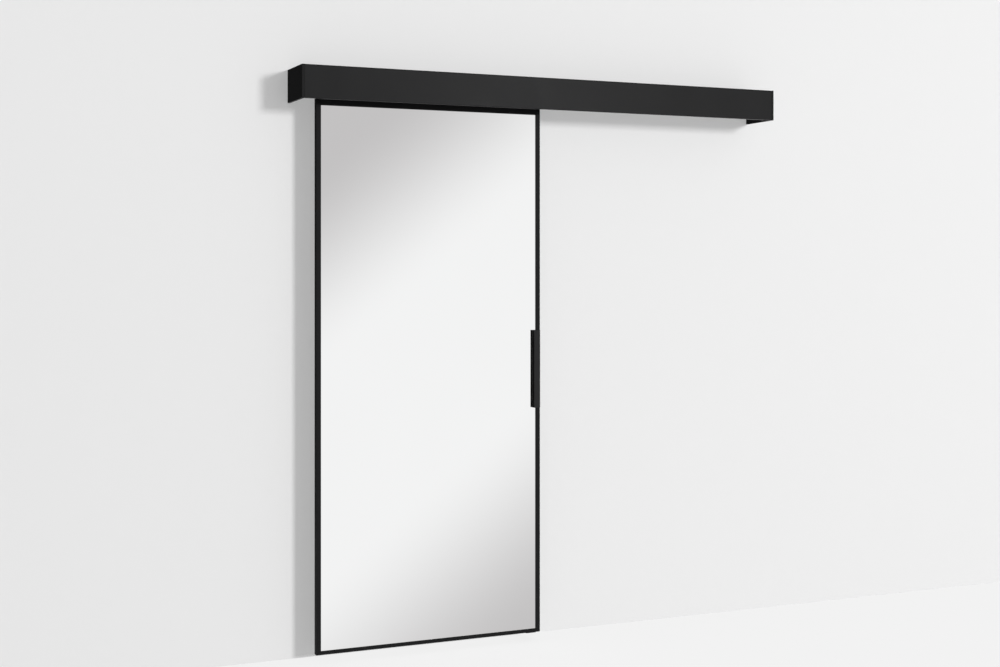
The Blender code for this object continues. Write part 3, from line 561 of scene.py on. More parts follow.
@dataclass(frozen=True)
class Rubber(Finish):
    """Matt rubber with a dusty bloom and a fine pebble."""

    specular: float = 0.25
    bloom: Point = (160.0, 5.0)
    bloom_span: Point = (0.45, 0.8)
    tint_range: Point = (1.0, 2.6)
    pebble_scale: float = 2200.0
    relief: Point = (0.25, 0.0002)

    def paint(self, graph: Graph) -> None:
        """Lay the rubber: bloom in tint and gloss, pebble in the normal.

        Args:
            graph: The material's graph.
        """
        place = graph.place()
        bloom = graph.noise(place, *self.bloom)
        pebble = graph.cells(place, self.pebble_scale)
        graph.surface(
            Base_Color=self.tint(graph, bloom.between(*self.bloom_span) * 0.6, *self.tint_range),
            Roughness=self.roughness + 0.18 * (bloom - 0.5),
            Normal=graph.bump(pebble, *self.relief),
            Specular_IOR_Level=self.specular,
        )


@dataclass(frozen=True)
class Silvering(Finish):
    """Silvered float glass: a clean mirror with the faintest wiping haze."""

    haze: Point = (5.0, 4.0)
    haze_squeeze: Triple = (1.0, 1.0, 0.45)
    wipe: Point = (60.0, 3.0)
    wipe_squeeze: Triple = (0.2, 1.0, 1.0)
    tint_range: Point = (0.994, 1.004)

    def paint(self, graph: Graph) -> None:
        """Lay the silvering: haze in the tint, haze and wiping marks in the gloss.

        Args:
            graph: The material's graph.
        """
        haze = graph.noise(graph.place(self.haze_squeeze), *self.haze)
        wipe = graph.noise(graph.place(self.wipe_squeeze), *self.wipe)
        graph.surface(
            Base_Color=self.tint(graph, haze, *self.tint_range),
            Roughness=self.roughness + 0.010 * (haze - 0.5) + 0.004 * (wipe - 0.5),
            Metallic=1.0,
        )


@dataclass(frozen=True)
class Laminate(Finish):
    """Grey laminated board: a pressed linen weave with faint speckle."""

    threads: Point = (520.0, 2.0)
    warp_squeeze: Triple = (1.0, 1.0, 0.03)
    weft_squeeze: Triple = (0.03, 1.0, 1.0)
    cloud: Point = (9.0, 4.0)
    tint_range: Point = (0.80, 1.18)
    cloud_tone: float = 0.9
    relief: Point = (0.3, 0.0002)

    def paint(self, graph: Graph) -> None:
        """Lay the laminate: two sets of crossed threads.

        Args:
            graph: The material's graph.
        """
        place = graph.place()
        warp = graph.noise(graph.place(self.warp_squeeze), *self.threads)
        weft = graph.noise(graph.place(self.weft_squeeze), *self.threads)
        cloud = graph.noise(place, *self.cloud)
        weave = 0.5 * warp + 0.5 * weft
        tint = self.tint(graph, weave, *self.tint_range)
        graph.surface(
            Base_Color=graph.mix(cloud * 0.3, tint, self.tone(self.cloud_tone)),
            Roughness=self.roughness + 0.20 * (weave - 0.5) + 0.08 * (cloud - 0.5),
            Normal=graph.bump(weave, *self.relief),
        )


PELMET_COAT = PowderCoat("pelmet_powder_coat", (0.021, 0.021, 0.0215), 0.32)
CAP_SKIN = Moulding("end_cap_skin", (0.021, 0.021, 0.0215), 0.50)
STILE_FILM = Anodised("stile_black_anodised", (0.0135, 0.0135, 0.014), 0.40, Grain.ALONG_Z)
RAIL_FILM = Anodised("rail_black_anodised", (0.0135, 0.0135, 0.014), 0.40, Grain.ALONG_X)
HANDLE_FILM = Anodised("handle_black_anodised", (0.024, 0.024, 0.0245), 0.38, Grain.ALONG_Z)
BRACKET_COAT = DipCoat("bracket_dip_coat", (0.030, 0.030, 0.032), 0.52)
TRACK_METAL = DrawnMetal("track_mill_aluminium", (0.62, 0.62, 0.63), 0.36, Grain.ALONG_X)
KEY_METAL = DrawnMetal("key_sawn_aluminium", (0.60, 0.60, 0.61), 0.46, Grain.ALONG_Y)
ZINC = ZincPlate("bright_zinc_plate", (0.58, 0.60, 0.62), 0.30)
BLACK_ZINC = ZincPlate("black_zinc_plate", (0.035, 0.035, 0.037), 0.38)
CAST_SKIN = Casting("cast_zinc_skin", (0.36, 0.36, 0.37), 0.50)
WHEEL_NYLON = Moulding("wheel_nylon", (0.72, 0.71, 0.67), 0.42, 0.45, (900.0, 2.0), edge_tone=1.1)
SHOE_NYLON = Moulding("shoe_black_nylon", (0.016, 0.016, 0.016), 0.48, 0.3, (1200.0, 2.0))
BUFFER_RUBBER = Rubber("buffer_rubber", (0.014, 0.014, 0.014), 0.84)
GASKET_RUBBER = Rubber("gasket_rubber", (0.012, 0.012, 0.012), 0.80)
MIRROR_SILVER = Silvering("mirror_silvering", (0.935, 0.938, 0.938), 0.010)
BACK_BOARD = Laminate("back_board_laminate", (0.34, 0.34, 0.33), 0.58)


class Shaper:
    """Mesh-making tools that the sub-assemblies share."""

    thread_depth: ClassVar[float] = 0.55
    thread_levels: ClassVar[int] = 6
    thread_facets: ClassVar[int] = 20
    thread_angle: ClassVar[float] = 60.0
    trim_hair: ClassVar[float] = 0.0001
    trim_slope: ClassVar[float] = 0.58
    trim_facets: ClassVar[int] = 48
    corner_steps: ClassVar[int] = 4

    @staticmethod
    def mesh(shape: bmesh.types.BMesh, angle: float = SHARP_ANGLE) -> bpy.types.Mesh:
        """Turn a working shape into a mesh with smooth faces and sharp edges.

        Args:
            shape: The working shape, freed here.
            angle: Edges sharper than this many degrees stay sharp.

        Returns:
            The mesh.
        """
        bmesh.ops.recalc_face_normals(shape, faces=shape.faces)
        made = bpy.data.meshes.new("shape")
        shape.to_mesh(made)
        shape.free()
        made.shade_smooth()
        made.set_sharp_from_angle(angle=math.radians(angle))
        return made

    @staticmethod
    def circle(count: int, shift: float = 0.0) -> list[Point]:
        """Return even points on a unit circle, the first one shifted by a part of a step."""
        angles = [2 * math.pi * (step + shift) / count for step in range(count)]
        return [(math.cos(angle), math.sin(angle)) for angle in angles]

    @staticmethod
    def lathe(profile: Sequence[Point], steps: int, ring: bool = False) -> bpy.types.Mesh:
        """Turn a profile about Z.

        Args:
            profile: Radius and height of each point; an open profile starts and ends on the axis.
            steps: How many facets the round has.
            ring: True where the profile closes on itself.

        Returns:
            The turned mesh.
        """
        shape = bmesh.new()
        turns = Shaper.circle(steps)
        rings = []
        for radius, height in profile:
            spots = turns if radius > 0 else [(0.0, 0.0)]
            rings.append([shape.verts.new((radius * c, radius * s, height)) for c, s in spots])
        pairs = list(zip(rings, rings[1:]))
        if ring:
            pairs.append((rings[-1], rings[0]))
        for lower, upper in pairs:
            for step in range(steps):
                after = (step + 1) % steps
                corners = [lower[step % len(lower)], lower[after % len(lower)],
                           upper[after % len(upper)], upper[step % len(upper)]]
                face = list(dict.fromkeys(corners))
                if len(face) > 2:
                    shape.faces.new(face)
        return Shaper.mesh(shape)

    @staticmethod
    def loft(outlines: Sequence[Sequence[Triple]], angle: float = SHARP_ANGLE,
             twisted: bool = False) -> bpy.types.Mesh:
        """Skin a stack of outlines that have as many points each, and close its ends.

        Args:
            outlines: The outlines, from one end to the other.
            angle: Edges sharper than this many degrees stay sharp.
            twisted: True to split the faces into flat triangles.

        Returns:
            The closed mesh.
        """
        shape = bmesh.new()
        rings = [[shape.verts.new(spot) for spot in outline] for outline in outlines]
        shape.faces.new(rings[0])
        shape.faces.new(rings[-1])
        for first, second in zip(rings, rings[1:]):
            for step in range(len(first)):
                after = (step + 1) % len(first)
                shape.faces.new((first[step], first[after], second[after], second[step]))
        if twisted:
            bmesh.ops.triangulate(shape, faces=shape.faces)
        return Shaper.mesh(shape, angle)

    @staticmethod
    def prism(outline: Sequence[Point], low: float, high: float,
              taper: float = 1.0) -> bpy.types.Mesh:
        """Give an outline a height.

        Args:
            outline: Points in XY.
            low: The lower level.
            high: The upper level.
            taper: The lower end's size against the upper end's.

        Returns:
            The prism.
        """
        lower = [(x * taper, y * taper, low) for x, y in outline]
        upper = [(x, y, high) for x, y in outline]
        return Shaper.loft([lower, upper])

    @staticmethod
    def thread(radius: float, pitch: float, length: float, top: float) -> bpy.types.Mesh:
        """Make a threaded rod that hangs down from a level.

        Args:
            radius: The thread's outer radius.
            pitch: The rise of one turn.
            length: The rod's length.
            top: The level of its upper end.

        Returns:
            The rod.
        """
        depth = Shaper.thread_depth * pitch
        count = max(2, round(length / pitch * Shaper.thread_levels))
        turns = Shaper.circle(Shaper.thread_facets)
        outlines = []
        for level in range(count + 1):
            down = length * level / count
            fade = min(1.0, down / pitch, (length - down) / pitch)
            outline = []
            for step, (c, s) in enumerate(turns):
                phase = (down / pitch + step / len(turns)) % 1.0
                reach = radius - depth * (1.0 - fade * (1.0 - abs(2.0 * phase - 1.0)))
                outline.append((reach * c, reach * s, top - down))
            outlines.append(outline)
        return Shaper.loft(outlines, Shaper.thread_angle, twisted=True)

    @staticmethod
    def combine(target: bpy.types.Mesh, tool: bpy.types.Mesh, cut: Cut) -> bpy.types.Mesh:
        """Cut one mesh with another, or join them.

        Args:
            target: The mesh to change.
            tool: The mesh to cut or join with.
            cut: What the tool does.

        Returns:
            The result, as a new mesh.
        """
        holders = [bpy.data.objects.new("holder", mesh) for mesh in (target, tool)]
        for holder in holders:
            bpy.context.scene.collection.objects.link(holder)
        change = holders[0].modifiers.new("cut", "BOOLEAN")
        change.operation = cut.value
        change.solver = "EXACT"
        change.object = holders[1]
        changed = holders[0].evaluated_get(bpy.context.evaluated_depsgraph_get())
        made = bpy.data.meshes.new_from_object(changed)
        shape = bmesh.new()
        shape.from_mesh(made)
        bmesh.ops.remove_doubles(shape, verts=shape.verts, dist=CUT_REACH)
        bmesh.ops.dissolve_degenerate(shape, dist=CUT_REACH, edges=shape.edges)
        shape.to_mesh(made)
        shape.free()
        for holder in holders:
            bpy.data.objects.remove(holder)
        return made

    @staticmethod
    def node_copy(node: str) -> bpy.types.Mesh:
        """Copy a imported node's mesh, with its corners welded and its flats joined.

        Args:
            node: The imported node's name.

        Returns:
            The copy, at the node's own place.
        """
        shape = bmesh.new()
        shape.from_mesh(frame["nodes"][node].data)
        bmesh.ops.remove_doubles(shape, verts=shape.verts, dist=WELD_REACH)
        bmesh.ops.dissolve_limit(shape, angle_limit=math.radians(FLAT_ANGLE), verts=shape.verts,
                                 edges=shape.edges)
        return Shaper.mesh(shape)

    @staticmethod
    def barrel(radius: float, low: float, high: float, chamfer: float) -> bpy.types.Mesh:
        """Return a round blank with both ends chamfered, to trim a head or nut.

        Args:
            radius: Its radius.
            low: The lower level.
            high: The upper level.
            chamfer: How far the chamfers reach in.

        Returns:
            The blank, a hair longer and wider than the piece that it trims.
        """
        hair = Shaper.trim_hair
        slope = chamfer * Shaper.trim_slope
        inner, outer = radius - chamfer, radius + hair
        profile = [(0.0, low - hair), (inner, low - hair), (outer, low + slope),
                   (outer, high - slope), (inner, high + hair), (0.0, high + hair)]
        return Shaper.lathe(profile, Shaper.trim_facets)

    @staticmethod
    def rounded(width: float, height: float, radius: float) -> list[Point]:
        """Return a rectangle with round corners.

        Args:
            width: Its size along X.
            height: Its size along Y.
            radius: The corners' radius.

        Returns:
            Its points.
        """
        points = []
        for quarter, (across, up) in enumerate(((1, 1), (-1, 1), (-1, -1), (1, -1))):
            for step in range(Shaper.corner_steps + 1):
                angle = math.pi / 2 * (quarter + step / Shaper.corner_steps)
                points.append((across * (width / 2 - radius) + radius * math.cos(angle),
                               up * (height / 2 - radius) + radius * math.sin(angle)))
        return points

    @staticmethod
    def polygon(sides: int, radius: float, centre: Point = (0.0, 0.0)) -> list[Point]:
        """Return a regular polygon by the radius to its corners."""
        turns = Shaper.circle(sides, 0.5)
        return [(centre[0] + radius * c, centre[1] + radius * s) for c, s in turns]


def add_piece(name: str, mesh: bpy.types.Mesh, finish: Finish, body: Body, matrix: Matrix,
              nodes: Sequence[str] = ()) -> bpy.types.Object:
    """Add one piece that rides on a body.

    Args:
        name: The piece's name.
        mesh: Its mesh, in the piece's own space.
        finish: Its surface finish.
        body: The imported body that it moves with.
        matrix: Its place in the row frame.
        nodes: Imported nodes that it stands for.

    Returns:
        The piece.
    """
    mesh = mesh.copy()
    mesh.name = name
    mesh.materials.clear()
    mesh.materials.append(finish.material())
    piece = bpy.data.objects.new(name, mesh)
    bpy.context.scene.collection.objects.link(piece)
    piece.matrix_world = matrix
    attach(piece, body.value)
    if nodes:
        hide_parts(*nodes)
    LOG.info("piece %s rides on %s, in %s", name, body.value, finish.name)
    return piece


def ease_edges(piece: bpy.types.Object, width: float) -> None:
    """Round an object's sharp edges a little, with modifiers.

    Args:
        piece: The object.
        width: The width of the eased edges.
    """
    ease = piece.modifiers.new("ease", "BEVEL")
    ease.width = width
    ease.segments = EASE_SEGMENTS
    ease.limit_method = "ANGLE"
    ease.use_clamp_overlap = False
    ease.angle_limit = math.radians(SHARP_ANGLE)
    shade = piece.modifiers.new("shade", "WEIGHTED_NORMAL")
    shade.weight = FLAT_WEIGHT


def dress_node(name: str, finish: Finish, softness: float = SOFT_EDGE) -> None:
    """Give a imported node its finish, and ease its sharp edges.

    Args:
        name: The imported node's name.
        finish: Its surface finish.
        softness: The width of the eased edges.
    """
    node = frame["nodes"][name]
    node.data.materials.clear()
    node.data.materials.append(finish.material())
    weld = node.modifiers.new("weld", "WELD")
    weld.merge_threshold = WELD_REACH
    flats = node.modifiers.new("flats", "DECIMATE")
    flats.decimate_type = "DISSOLVE"
    flats.angle_limit = math.radians(FLAT_ANGLE)
    ease_edges(node, softness)
    LOG.info("node %s dressed in %s", name, finish.name)


@dataclass(frozen=True)
class Fastener:
    """A screw or bolt with a turned head, a drive recess and a cut thread."""

    shank: float
    pitch: float
    head_height: float
    crown: float
    drive: Drive
    knurls: int = 0
    knurl_depth: float = 0.0003
    knurl_parts: ClassVar[tuple[float, ...]] = (0.0, 0.4, 0.5, 0.9)
    crown_steps: ClassVar[int] = 6
    head_facets: ClassVar[int] = 40
    root: ClassVar[float] = 0.3
    socket_reach: ClassVar[float] = 0.44
    socket_floor: ClassVar[float] = 0.42
    cross_reach: ClassVar[float] = 0.58
    cross_arm: ClassVar[float] = 0.24
    cross_floor: ClassVar[float] = 0.3
    cross_taper: ClassVar[float] = 0.62

    def _turned_head(self, radius: float) -> bpy.types.Mesh:
        """Return a round head with a rolled-over rim.

        Args:
            radius: The head's radius.

        Returns:
            The head, its seat at Z = 0.
        """
        shoulder = self.head_height - self.crown
        profile = [(0.0, self.head_height)]
        for step in range(self.crown_steps + 1):
            angle = math.radians(90.0 * step / self.crown_steps)
            profile.append((radius - self.crown + self.crown * math.sin(angle),
                            shoulder + self.crown * math.cos(angle)))
        profile += [(radius, 0.0), (0.0, 0.0)]
        return Shaper.lathe(profile, self.head_facets)

    def _knurled_head(self, radius: float) -> bpy.types.Mesh:
        """Return a straight-knurled head with chamfered ends.

        Args:
            radius: The head's radius over the knurls.

        Returns:
            The head, its seat at Z = 0.
        """
        rim = []
        valley = radius - self.knurl_depth
        for tooth in range(self.knurls):
            for part, reach in zip(self.knurl_parts, (radius, radius, valley, valley)):
                angle = 2 * math.pi * (tooth + part) / self.knurls
                rim.append((reach * math.cos(angle), reach * math.sin(angle)))
        blank = Shaper.prism(rim, 0.0, self.head_height)
        barrel = Shaper.barrel(radius, 0.0, self.head_height, self.crown)
        return Shaper.combine(blank, barrel, Cut.TRIM)

    def _recess(self, radius: float) -> bpy.types.Mesh:
        """Return the tool that cuts the drive recess.

        Args:
            radius: The head's radius.

        Returns:
            The cutter.
        """
        height, top = self.head_height, 2 * self.head_height
        if self.drive is Drive.SOCKET:
            hexagon = Shaper.polygon(HEX_SIDES, radius * self.socket_reach)
            return Shaper.prism(hexagon, height * self.socket_floor, top)
        reach = radius * self.cross_reach
        half = reach * self.cross_arm
        arm = [(reach, -half), (reach, half), (half, half)]
        outline = []
        for _ in range(4):
            outline += arm
            arm = [(-y, x) for x, y in arm]
        return Shaper.prism(outline, height * self.cross_floor, top, self.cross_taper)

    def mesh(self, head: float, length: float) -> bpy.types.Mesh:
        """Make the fastener, its head's seat at Z = 0.

        Args:
            head: The head's diameter.
            length: The length below the head.

        Returns:
            The mesh.
        """
        body = self._knurled_head(head / 2) if self.knurls else self._turned_head(head / 2)
        root = self.head_height * self.root
        rod = Shaper.thread(self.shank / 2, self.pitch, length + root, root)
        body = Shaper.combine(body, rod, Cut.JOIN)
        return Shaper.combine(body, self._recess(head / 2), Cut.REMOVE)

    def fit(self, node: str, facing: Facing, finish: Finish, body: Body, slot: Slot) -> None:
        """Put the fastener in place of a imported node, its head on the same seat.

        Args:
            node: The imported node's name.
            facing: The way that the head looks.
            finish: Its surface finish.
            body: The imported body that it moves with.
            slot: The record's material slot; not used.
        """
        low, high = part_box(node)
        size = high - low
        along = max(range(3), key=lambda axis: abs(facing.vector[axis]))
        seat = (low + high) / 2 + facing.vector * (size[along] / 2 - self.head_height)
        mesh = self.mesh(size[(along + 1) % 3], size[along] - self.head_height)
        matrix = Matrix.Translation(seat) @ facing.turn
        add_piece(node + "_threaded", mesh, finish, body, matrix, [node])


class SubAssembly:
    """A group of pieces that are built together and then dressed."""

    def build(self) -> None:
        """Build nothing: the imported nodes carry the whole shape."""

    def dress(self) -> None:
        """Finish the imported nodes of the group."""
        raise NotImplementedError


@dataclass
class Pelmet(SubAssembly):
    """The box cover over the track, with its two end caps."""

    cover: str = "pelmet_cover"
    caps: tuple[str, str] = ("pelmet_end_cap_left", "pelmet_end_cap_right")
    cap_edge: float = 0.0004

    def dress(self) -> None:
        """Coat the cover and skin the caps."""
        dress_node(self.cover, PELMET_COAT)
        for cap in self.caps:
            dress_node(cap, CAP_SKIN, self.cap_edge)


@dataclass
class WallBrackets(SubAssembly):
    """Three brackets that carry the track, with the bolts that hold it."""

    stations: tuple[str, ...] = ("left", "centre", "right")
    bolt: Fastener = Fastener(0.006, 0.001, 0.0033, 0.0020, Drive.SOCKET)
    edge: float = 0.0002

    def build(self) -> None:
        """Put in the track bolts, low socket heads from below."""
        for station in self.stations:
            self.bolt.fit("track_bolt_" + station, Facing.DOWN, ZINC, Body.FIXED, Slot.ZINC)

    def dress(self) -> None:
        """Coat the brackets."""
        for station in self.stations:
            dress_node("wall_bracket_" + station, BRACKET_COAT, self.edge)


@dataclass
class Track(SubAssembly):
    """The slotted rail, with a clamped stop and a rubber buffer at each end of travel."""

    sides: tuple[str, str] = ("left", "right")
    screw: Fastener = Fastener(0.006, 0.001, 0.0035, 0.0007, Drive.SOCKET, 32)
    stop_edge: float = 0.0008

    def build(self) -> None:
        """Put in the knurled thumb screws that clamp the stops."""
        for side in self.sides:
            self.screw.fit("stop_screw_" + side, Facing.DOWN, ZINC, Body.FIXED, Slot.ZINC)

    def dress(self) -> None:
        """Finish the rail, the stops and the buffers."""
        dress_node("track_rail", TRACK_METAL)
        for side in self.sides:
            dress_node("end_stop_" + side, CAST_SKIN, self.stop_edge)
            dress_node("stop_buffer_" + side, BUFFER_RUBBER)


@dataclass
class BottomGuide(SubAssembly):
    """The wall angle low behind the leaf, with the shoe that runs in the bottom rail."""

    screw: Fastener = Fastener(0.004, 0.0007, 0.002, 0.0012, Drive.CROSS)
    shoe_edge: float = 0.0006

    def build(self) -> None:
        """Put in the shoe's cross-recess screw, its head sunk in the top."""
        self.screw.fit("guide_screw", Facing.UP, ZINC, Body.FIXED, Slot.ZINC)

    def dress(self) -> None:
        """Finish the angle and the shoe."""
        dress_node("guide_bracket", BRACKET_COAT)
        dress_node("guide_shoe", SHOE_NYLON, self.shoe_edge)


@dataclass
class Leaf(SubAssembly):
    """The framed mirror: four mitred members, corner keys, gasket, pane and backing."""

    stiles: tuple[str, str] = ("stile_left", "stile_right")
    rails: tuple[str, str] = ("top_rail", "bottom_rail")
    corners: tuple[str, ...] = ("top_left", "top_right", "bottom_left", "bottom_right")
    member_edge: float = 0.0004
    gasket_edge: float = 0.0002

    def dress(self) -> None:
        """Finish the frame, the mirror and what holds it."""
        for stile in self.stiles:
            dress_node(stile, STILE_FILM, self.member_edge)
        for rail in self.rails:
            dress_node(rail, RAIL_FILM, self.member_edge)
        for corner in self.corners:
            dress_node("corner_key_" + corner, KEY_METAL)
        dress_node("mirror_pane", MIRROR_SILVER)
        dress_node("backing_panel", BACK_BOARD)
        dress_node("glazing_gasket", GASKET_RUBBER, self.gasket_edge)


@dataclass
class PullHandle(SubAssembly):
    """The edge pull and the two screws that hold it to the right stile."""

    ends: tuple[str, str] = ("upper", "lower")
    screw: Fastener = Fastener(0.004, 0.0007, 0.0021, 0.0014, Drive.CROSS)
    edge: float = 0.0003

    def build(self) -> None:
        """Put in the cross-recess screws."""
        for end in self.ends:
            node = "handle_screw_" + end
            self.screw.fit(node, Facing.FRONT, BLACK_ZINC, Body.LEAF, Slot.BLACK_SCREW)

    def dress(self) -> None:
        """Finish the pull."""
        dress_node("pull_handle", HANDLE_FILM, self.edge)


@dataclass(frozen=True)
class RollerWheel:
    """A nylon tyre pressed on a shielded ball bearing."""

    bearing_radius: float = 0.0062
    bearing_inset: float = 0.0002
    bore_radius: float = 0.0028
    press_gap: float = 0.00005
    race: float = 0.0009
    shield_depth: float = 0.0004
    hub_lip: float = 0.0009
    rim_lip: float = 0.0019
    dish: float = 0.0009
    draft: float = 0.0003
    shoulder: float = 0.0006
    crown: float = 0.0001
    groove_offset: float = 0.0011
    groove_width: float = 0.0010
    groove_depth: float = 0.0004
    pockets: int = 6
    pocket_radius: float = 0.0011
    pocket_depth: float = 0.0010
    tyre_facets: int = 48
    bearing_facets: int = 40
    pocket_facets: int = 16

    @staticmethod
    def _mirrored(side: Sequence[Point]) -> list[Point]:
        """Return a closed profile from its upper half, which runs from the bore to the rim."""
        return list(side) + [(radius, -height) for radius, height in reversed(side)]

    def tyre(self, rim: float, half: float) -> bpy.types.Mesh:
        """Return the tyre: crowned tread with two grooves, dished sides with round pockets.

        Args:
            rim: The tread's radius.
            half: Half the tyre's width.

        Returns:
            The tyre, its axle along Z.
        """
        seat, web = self.bearing_radius, half - self.dish
        hub, wall = seat + self.hub_lip, rim - self.rim_lip
        outer = self.groove_offset + self.groove_width / 2
        inner = self.groove_offset - self.groove_width / 2
        groove = rim - self.groove_depth
        side = [(seat, half), (hub, half), (hub + self.draft, web), (wall - self.draft, web),
                (wall, half), (rim - self.shoulder, half),
                (rim - self.crown, half - self.shoulder), (rim, outer + self.shoulder),
                (rim, outer), (groove, outer - self.draft), (groove, inner + self.draft),
                (rim, inner)]
        tyre = Shaper.lathe(self._mirrored(side), self.tyre_facets, ring=True)
        for spot in Shaper.polygon(self.pockets, (hub + wall) / 2):
            hole = Shaper.polygon(self.pocket_facets, self.pocket_radius, spot)
            cutter = Shaper.prism(hole, web - self.pocket_depth, half + self.dish)
            tyre = Shaper.combine(tyre, cutter, Cut.REMOVE)
        return tyre

    def bearing(self, half: float) -> bpy.types.Mesh:
        """Return the bearing: two races with a sunk shield between them.

        Args:
            half: Half the tyre's width.

        Returns:
            The bearing, its axle along Z.
        """
        face = half - self.bearing_inset
        shield = face - self.shield_depth
        outer, inner = self.bearing_radius - self.press_gap, self.bore_radius
        side = [(inner, face), (inner + self.race, face),
                (inner + self.race + self.crown, shield),
                (outer - self.race - self.crown, shield), (outer - self.race, face), (outer, face)]
        return Shaper.lathe(self._mirrored(side), self.bearing_facets, ring=True)


@dataclass(frozen=True)
class Hexagon:
    """The hexagon of a bolt head or nut, with turned corners."""

    chamfer: float = 0.0009

    def mesh(self, node: str, height: float) -> bpy.types.Mesh:
        """Make the hexagon, its lower face at Z = 0.

        Args:
            node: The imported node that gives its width.
            height: Its height.

        Returns:
            The mesh.
        """
        low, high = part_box(node)
        corner = max(high.x - low.x, high.y - low.y) / 2
        blank = Shaper.prism(Shaper.polygon(HEX_SIDES, corner), 0.0, height)
        barrel = Shaper.barrel(corner, 0.0, height, self.chamfer)
        return Shaper.combine(blank, barrel, Cut.TRIM)


@dataclass
class HangingGear(SubAssembly):
    """The two roller carriages with their axles, wheels, hanger bolts, nuts and plates."""

    sides: tuple[str, str] = ("left", "right")
    axles: tuple[str, str] = ("a", "b")
    wheel: RollerWheel = RollerWheel()
    hexagon: Hexagon = Hexagon()
    screw: Fastener = Fastener(0.004, 0.0007, 0.0024, 0.0017, Drive.CROSS)
    axle_edge: float = 0.0002
    cast_edge: float = 0.0004
    pocket_spans: tuple[Point, ...] = ((0.008, 0.021), (0.035, 0.043))
    pocket_height: float = 0.011
    pocket_corner: float = 0.0018
    pocket_depth: float = 0.0022
    bolt_radius: float = 0.004
    bolt_pitch: float = 0.00125
    bolt_head: float = 0.0053
    nut_gap: float = 0.0002
    nut_lead: float = 0.0008
    nut_facets: int = 32

    def build(self) -> None:
        """Build the carriage bodies, bolts, nuts, screws and wheels."""
        low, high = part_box("wheel_left_a_front")
        rim, half = (high.z - low.z) / 2, (high.y - low.y) / 2
        tyre, bearing = self.wheel.tyre(rim, half), self.wheel.bearing(half)
        for side in self.sides:
            self._build_carriage(side)
            self._build_bolt(side)
            self._build_nut(side)
            for axle in self.axles:
                pair = "%s_%s" % (side, axle)
                self.screw.fit("hanger_screw_" + pair, Facing.UP, ZINC, Body.LEAF, Slot.ZINC)
                for place, facing in (("front", Facing.FRONT), ("rear", Facing.REAR)):
                    self._build_wheel(pair, place, facing, tyre, bearing)

    def dress(self) -> None:
        """Finish the plates and axles."""
        for side in self.sides:
            dress_node("hanger_plate_" + side, ZINC)
            for axle in self.axles:
                dress_node("axle_%s_%s" % (side, axle), ZINC, self.axle_edge)

    @staticmethod
    def _build_wheel(axle: str, place: str, facing: Facing, tyre: bpy.types.Mesh,
                     bearing: bpy.types.Mesh) -> None:
        """Put one wheel and its bearing on an axle.

        Args:
            axle: The axle's side and letter.
            place: front or rear.
            facing: The way that the wheel's outer side looks.
            tyre: The tyre's mesh.
            bearing: The bearing's mesh.
        """
        node = "wheel_%s_%s" % (axle, place)
        low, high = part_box(node)
        matrix = Matrix.Translation((low + high) / 2) @ facing.turn
        body = Body("wheels_" + axle)
        add_piece(node + "_tyre", tyre, WHEEL_NYLON, body, matrix, [node])
        add_piece(node + "_bearing", bearing, ZINC, body, matrix)

    def _build_carriage(self, side: str) -> None:
        """Build a cast carriage body with lightening pockets in both faces.

        Args:
            side: left or right.
        """
        node = "carriage_" + side
        low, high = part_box(node)
        centre = (low + high) / 2
        half = (high.y - low.y) / 2
        sunk, proud = half - self.pocket_depth, half + self.pocket_depth
        body = Shaper.node_copy(node)
        for start, end in self.pocket_spans:
            outline = Shaper.rounded(end - start, self.pocket_height, self.pocket_corner)
            for sign in (-1, 1):
                for facing in (Facing.FRONT, Facing.REAR):
                    cutter = Shaper.prism(outline, sunk, proud)
                    shift = Matrix.Translation((sign * (start + end) / 2, 0.0, 0.0))
                    cutter.transform(Matrix.Translation(centre) @ shift @ facing.turn)
                    body = Shaper.combine(body, cutter, Cut.REMOVE)
        body.transform(Matrix.Translation(-centre))
        matrix = Matrix.Translation(centre)
        piece = add_piece(node + "_cast", body, CAST_SKIN, Body.LEAF, matrix, [node])
        ease_edges(piece, self.cast_edge)

    def _build_bolt(self, side: str) -> None:
        """Build a hanger bolt: a hexagon head below and a threaded shank above.

        Args:
            side: left or right.
        """
        node = "hanger_bolt_" + side
        low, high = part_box(node)
        height = high.z - low.z
        head = self.hexagon.mesh(node, self.bolt_head)
        reach = height - self.bolt_head / 2
        rod = Shaper.thread(self.bolt_radius, self.bolt_pitch, reach, height)
        self._stand(node, "_threaded", Shaper.combine(head, rod, Cut.JOIN))

    def _build_nut(self, side: str) -> None:
        """Build a lock nut round the hanger bolt.

        Args:
            side: left or right.
        """
        node = "lock_nut_" + side
        low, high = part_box(node)
        height = high.z - low.z
        bore, lead = self.bolt_radius + self.nut_gap, self.nut_lead
        mouth = [(0.0, -lead), (bore + 2 * lead, -lead), (bore, lead), (bore, height - lead),
                 (bore + 2 * lead, height + lead), (0.0, height + lead)]
        drill = Shaper.lathe(mouth, self.nut_facets)
        nut = Shaper.combine(self.hexagon.mesh(node, height), drill, Cut.REMOVE)
        self._stand(node, "_chamfered", nut)

    @staticmethod
    def _stand(node: str, suffix: str, mesh: bpy.types.Mesh) -> None:
        """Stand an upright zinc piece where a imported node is, in its place.

        Args:
            node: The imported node's name.
            suffix: What the piece's name adds to it.
            mesh: The piece's mesh, its lower face at Z = 0.
        """
        low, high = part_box(node)
        foot = Matrix.Translation(((low.x + high.x) / 2, (low.y + high.y) / 2, low.z))
        add_piece(node + suffix, mesh, ZINC, Body.LEAF, foot, [node])


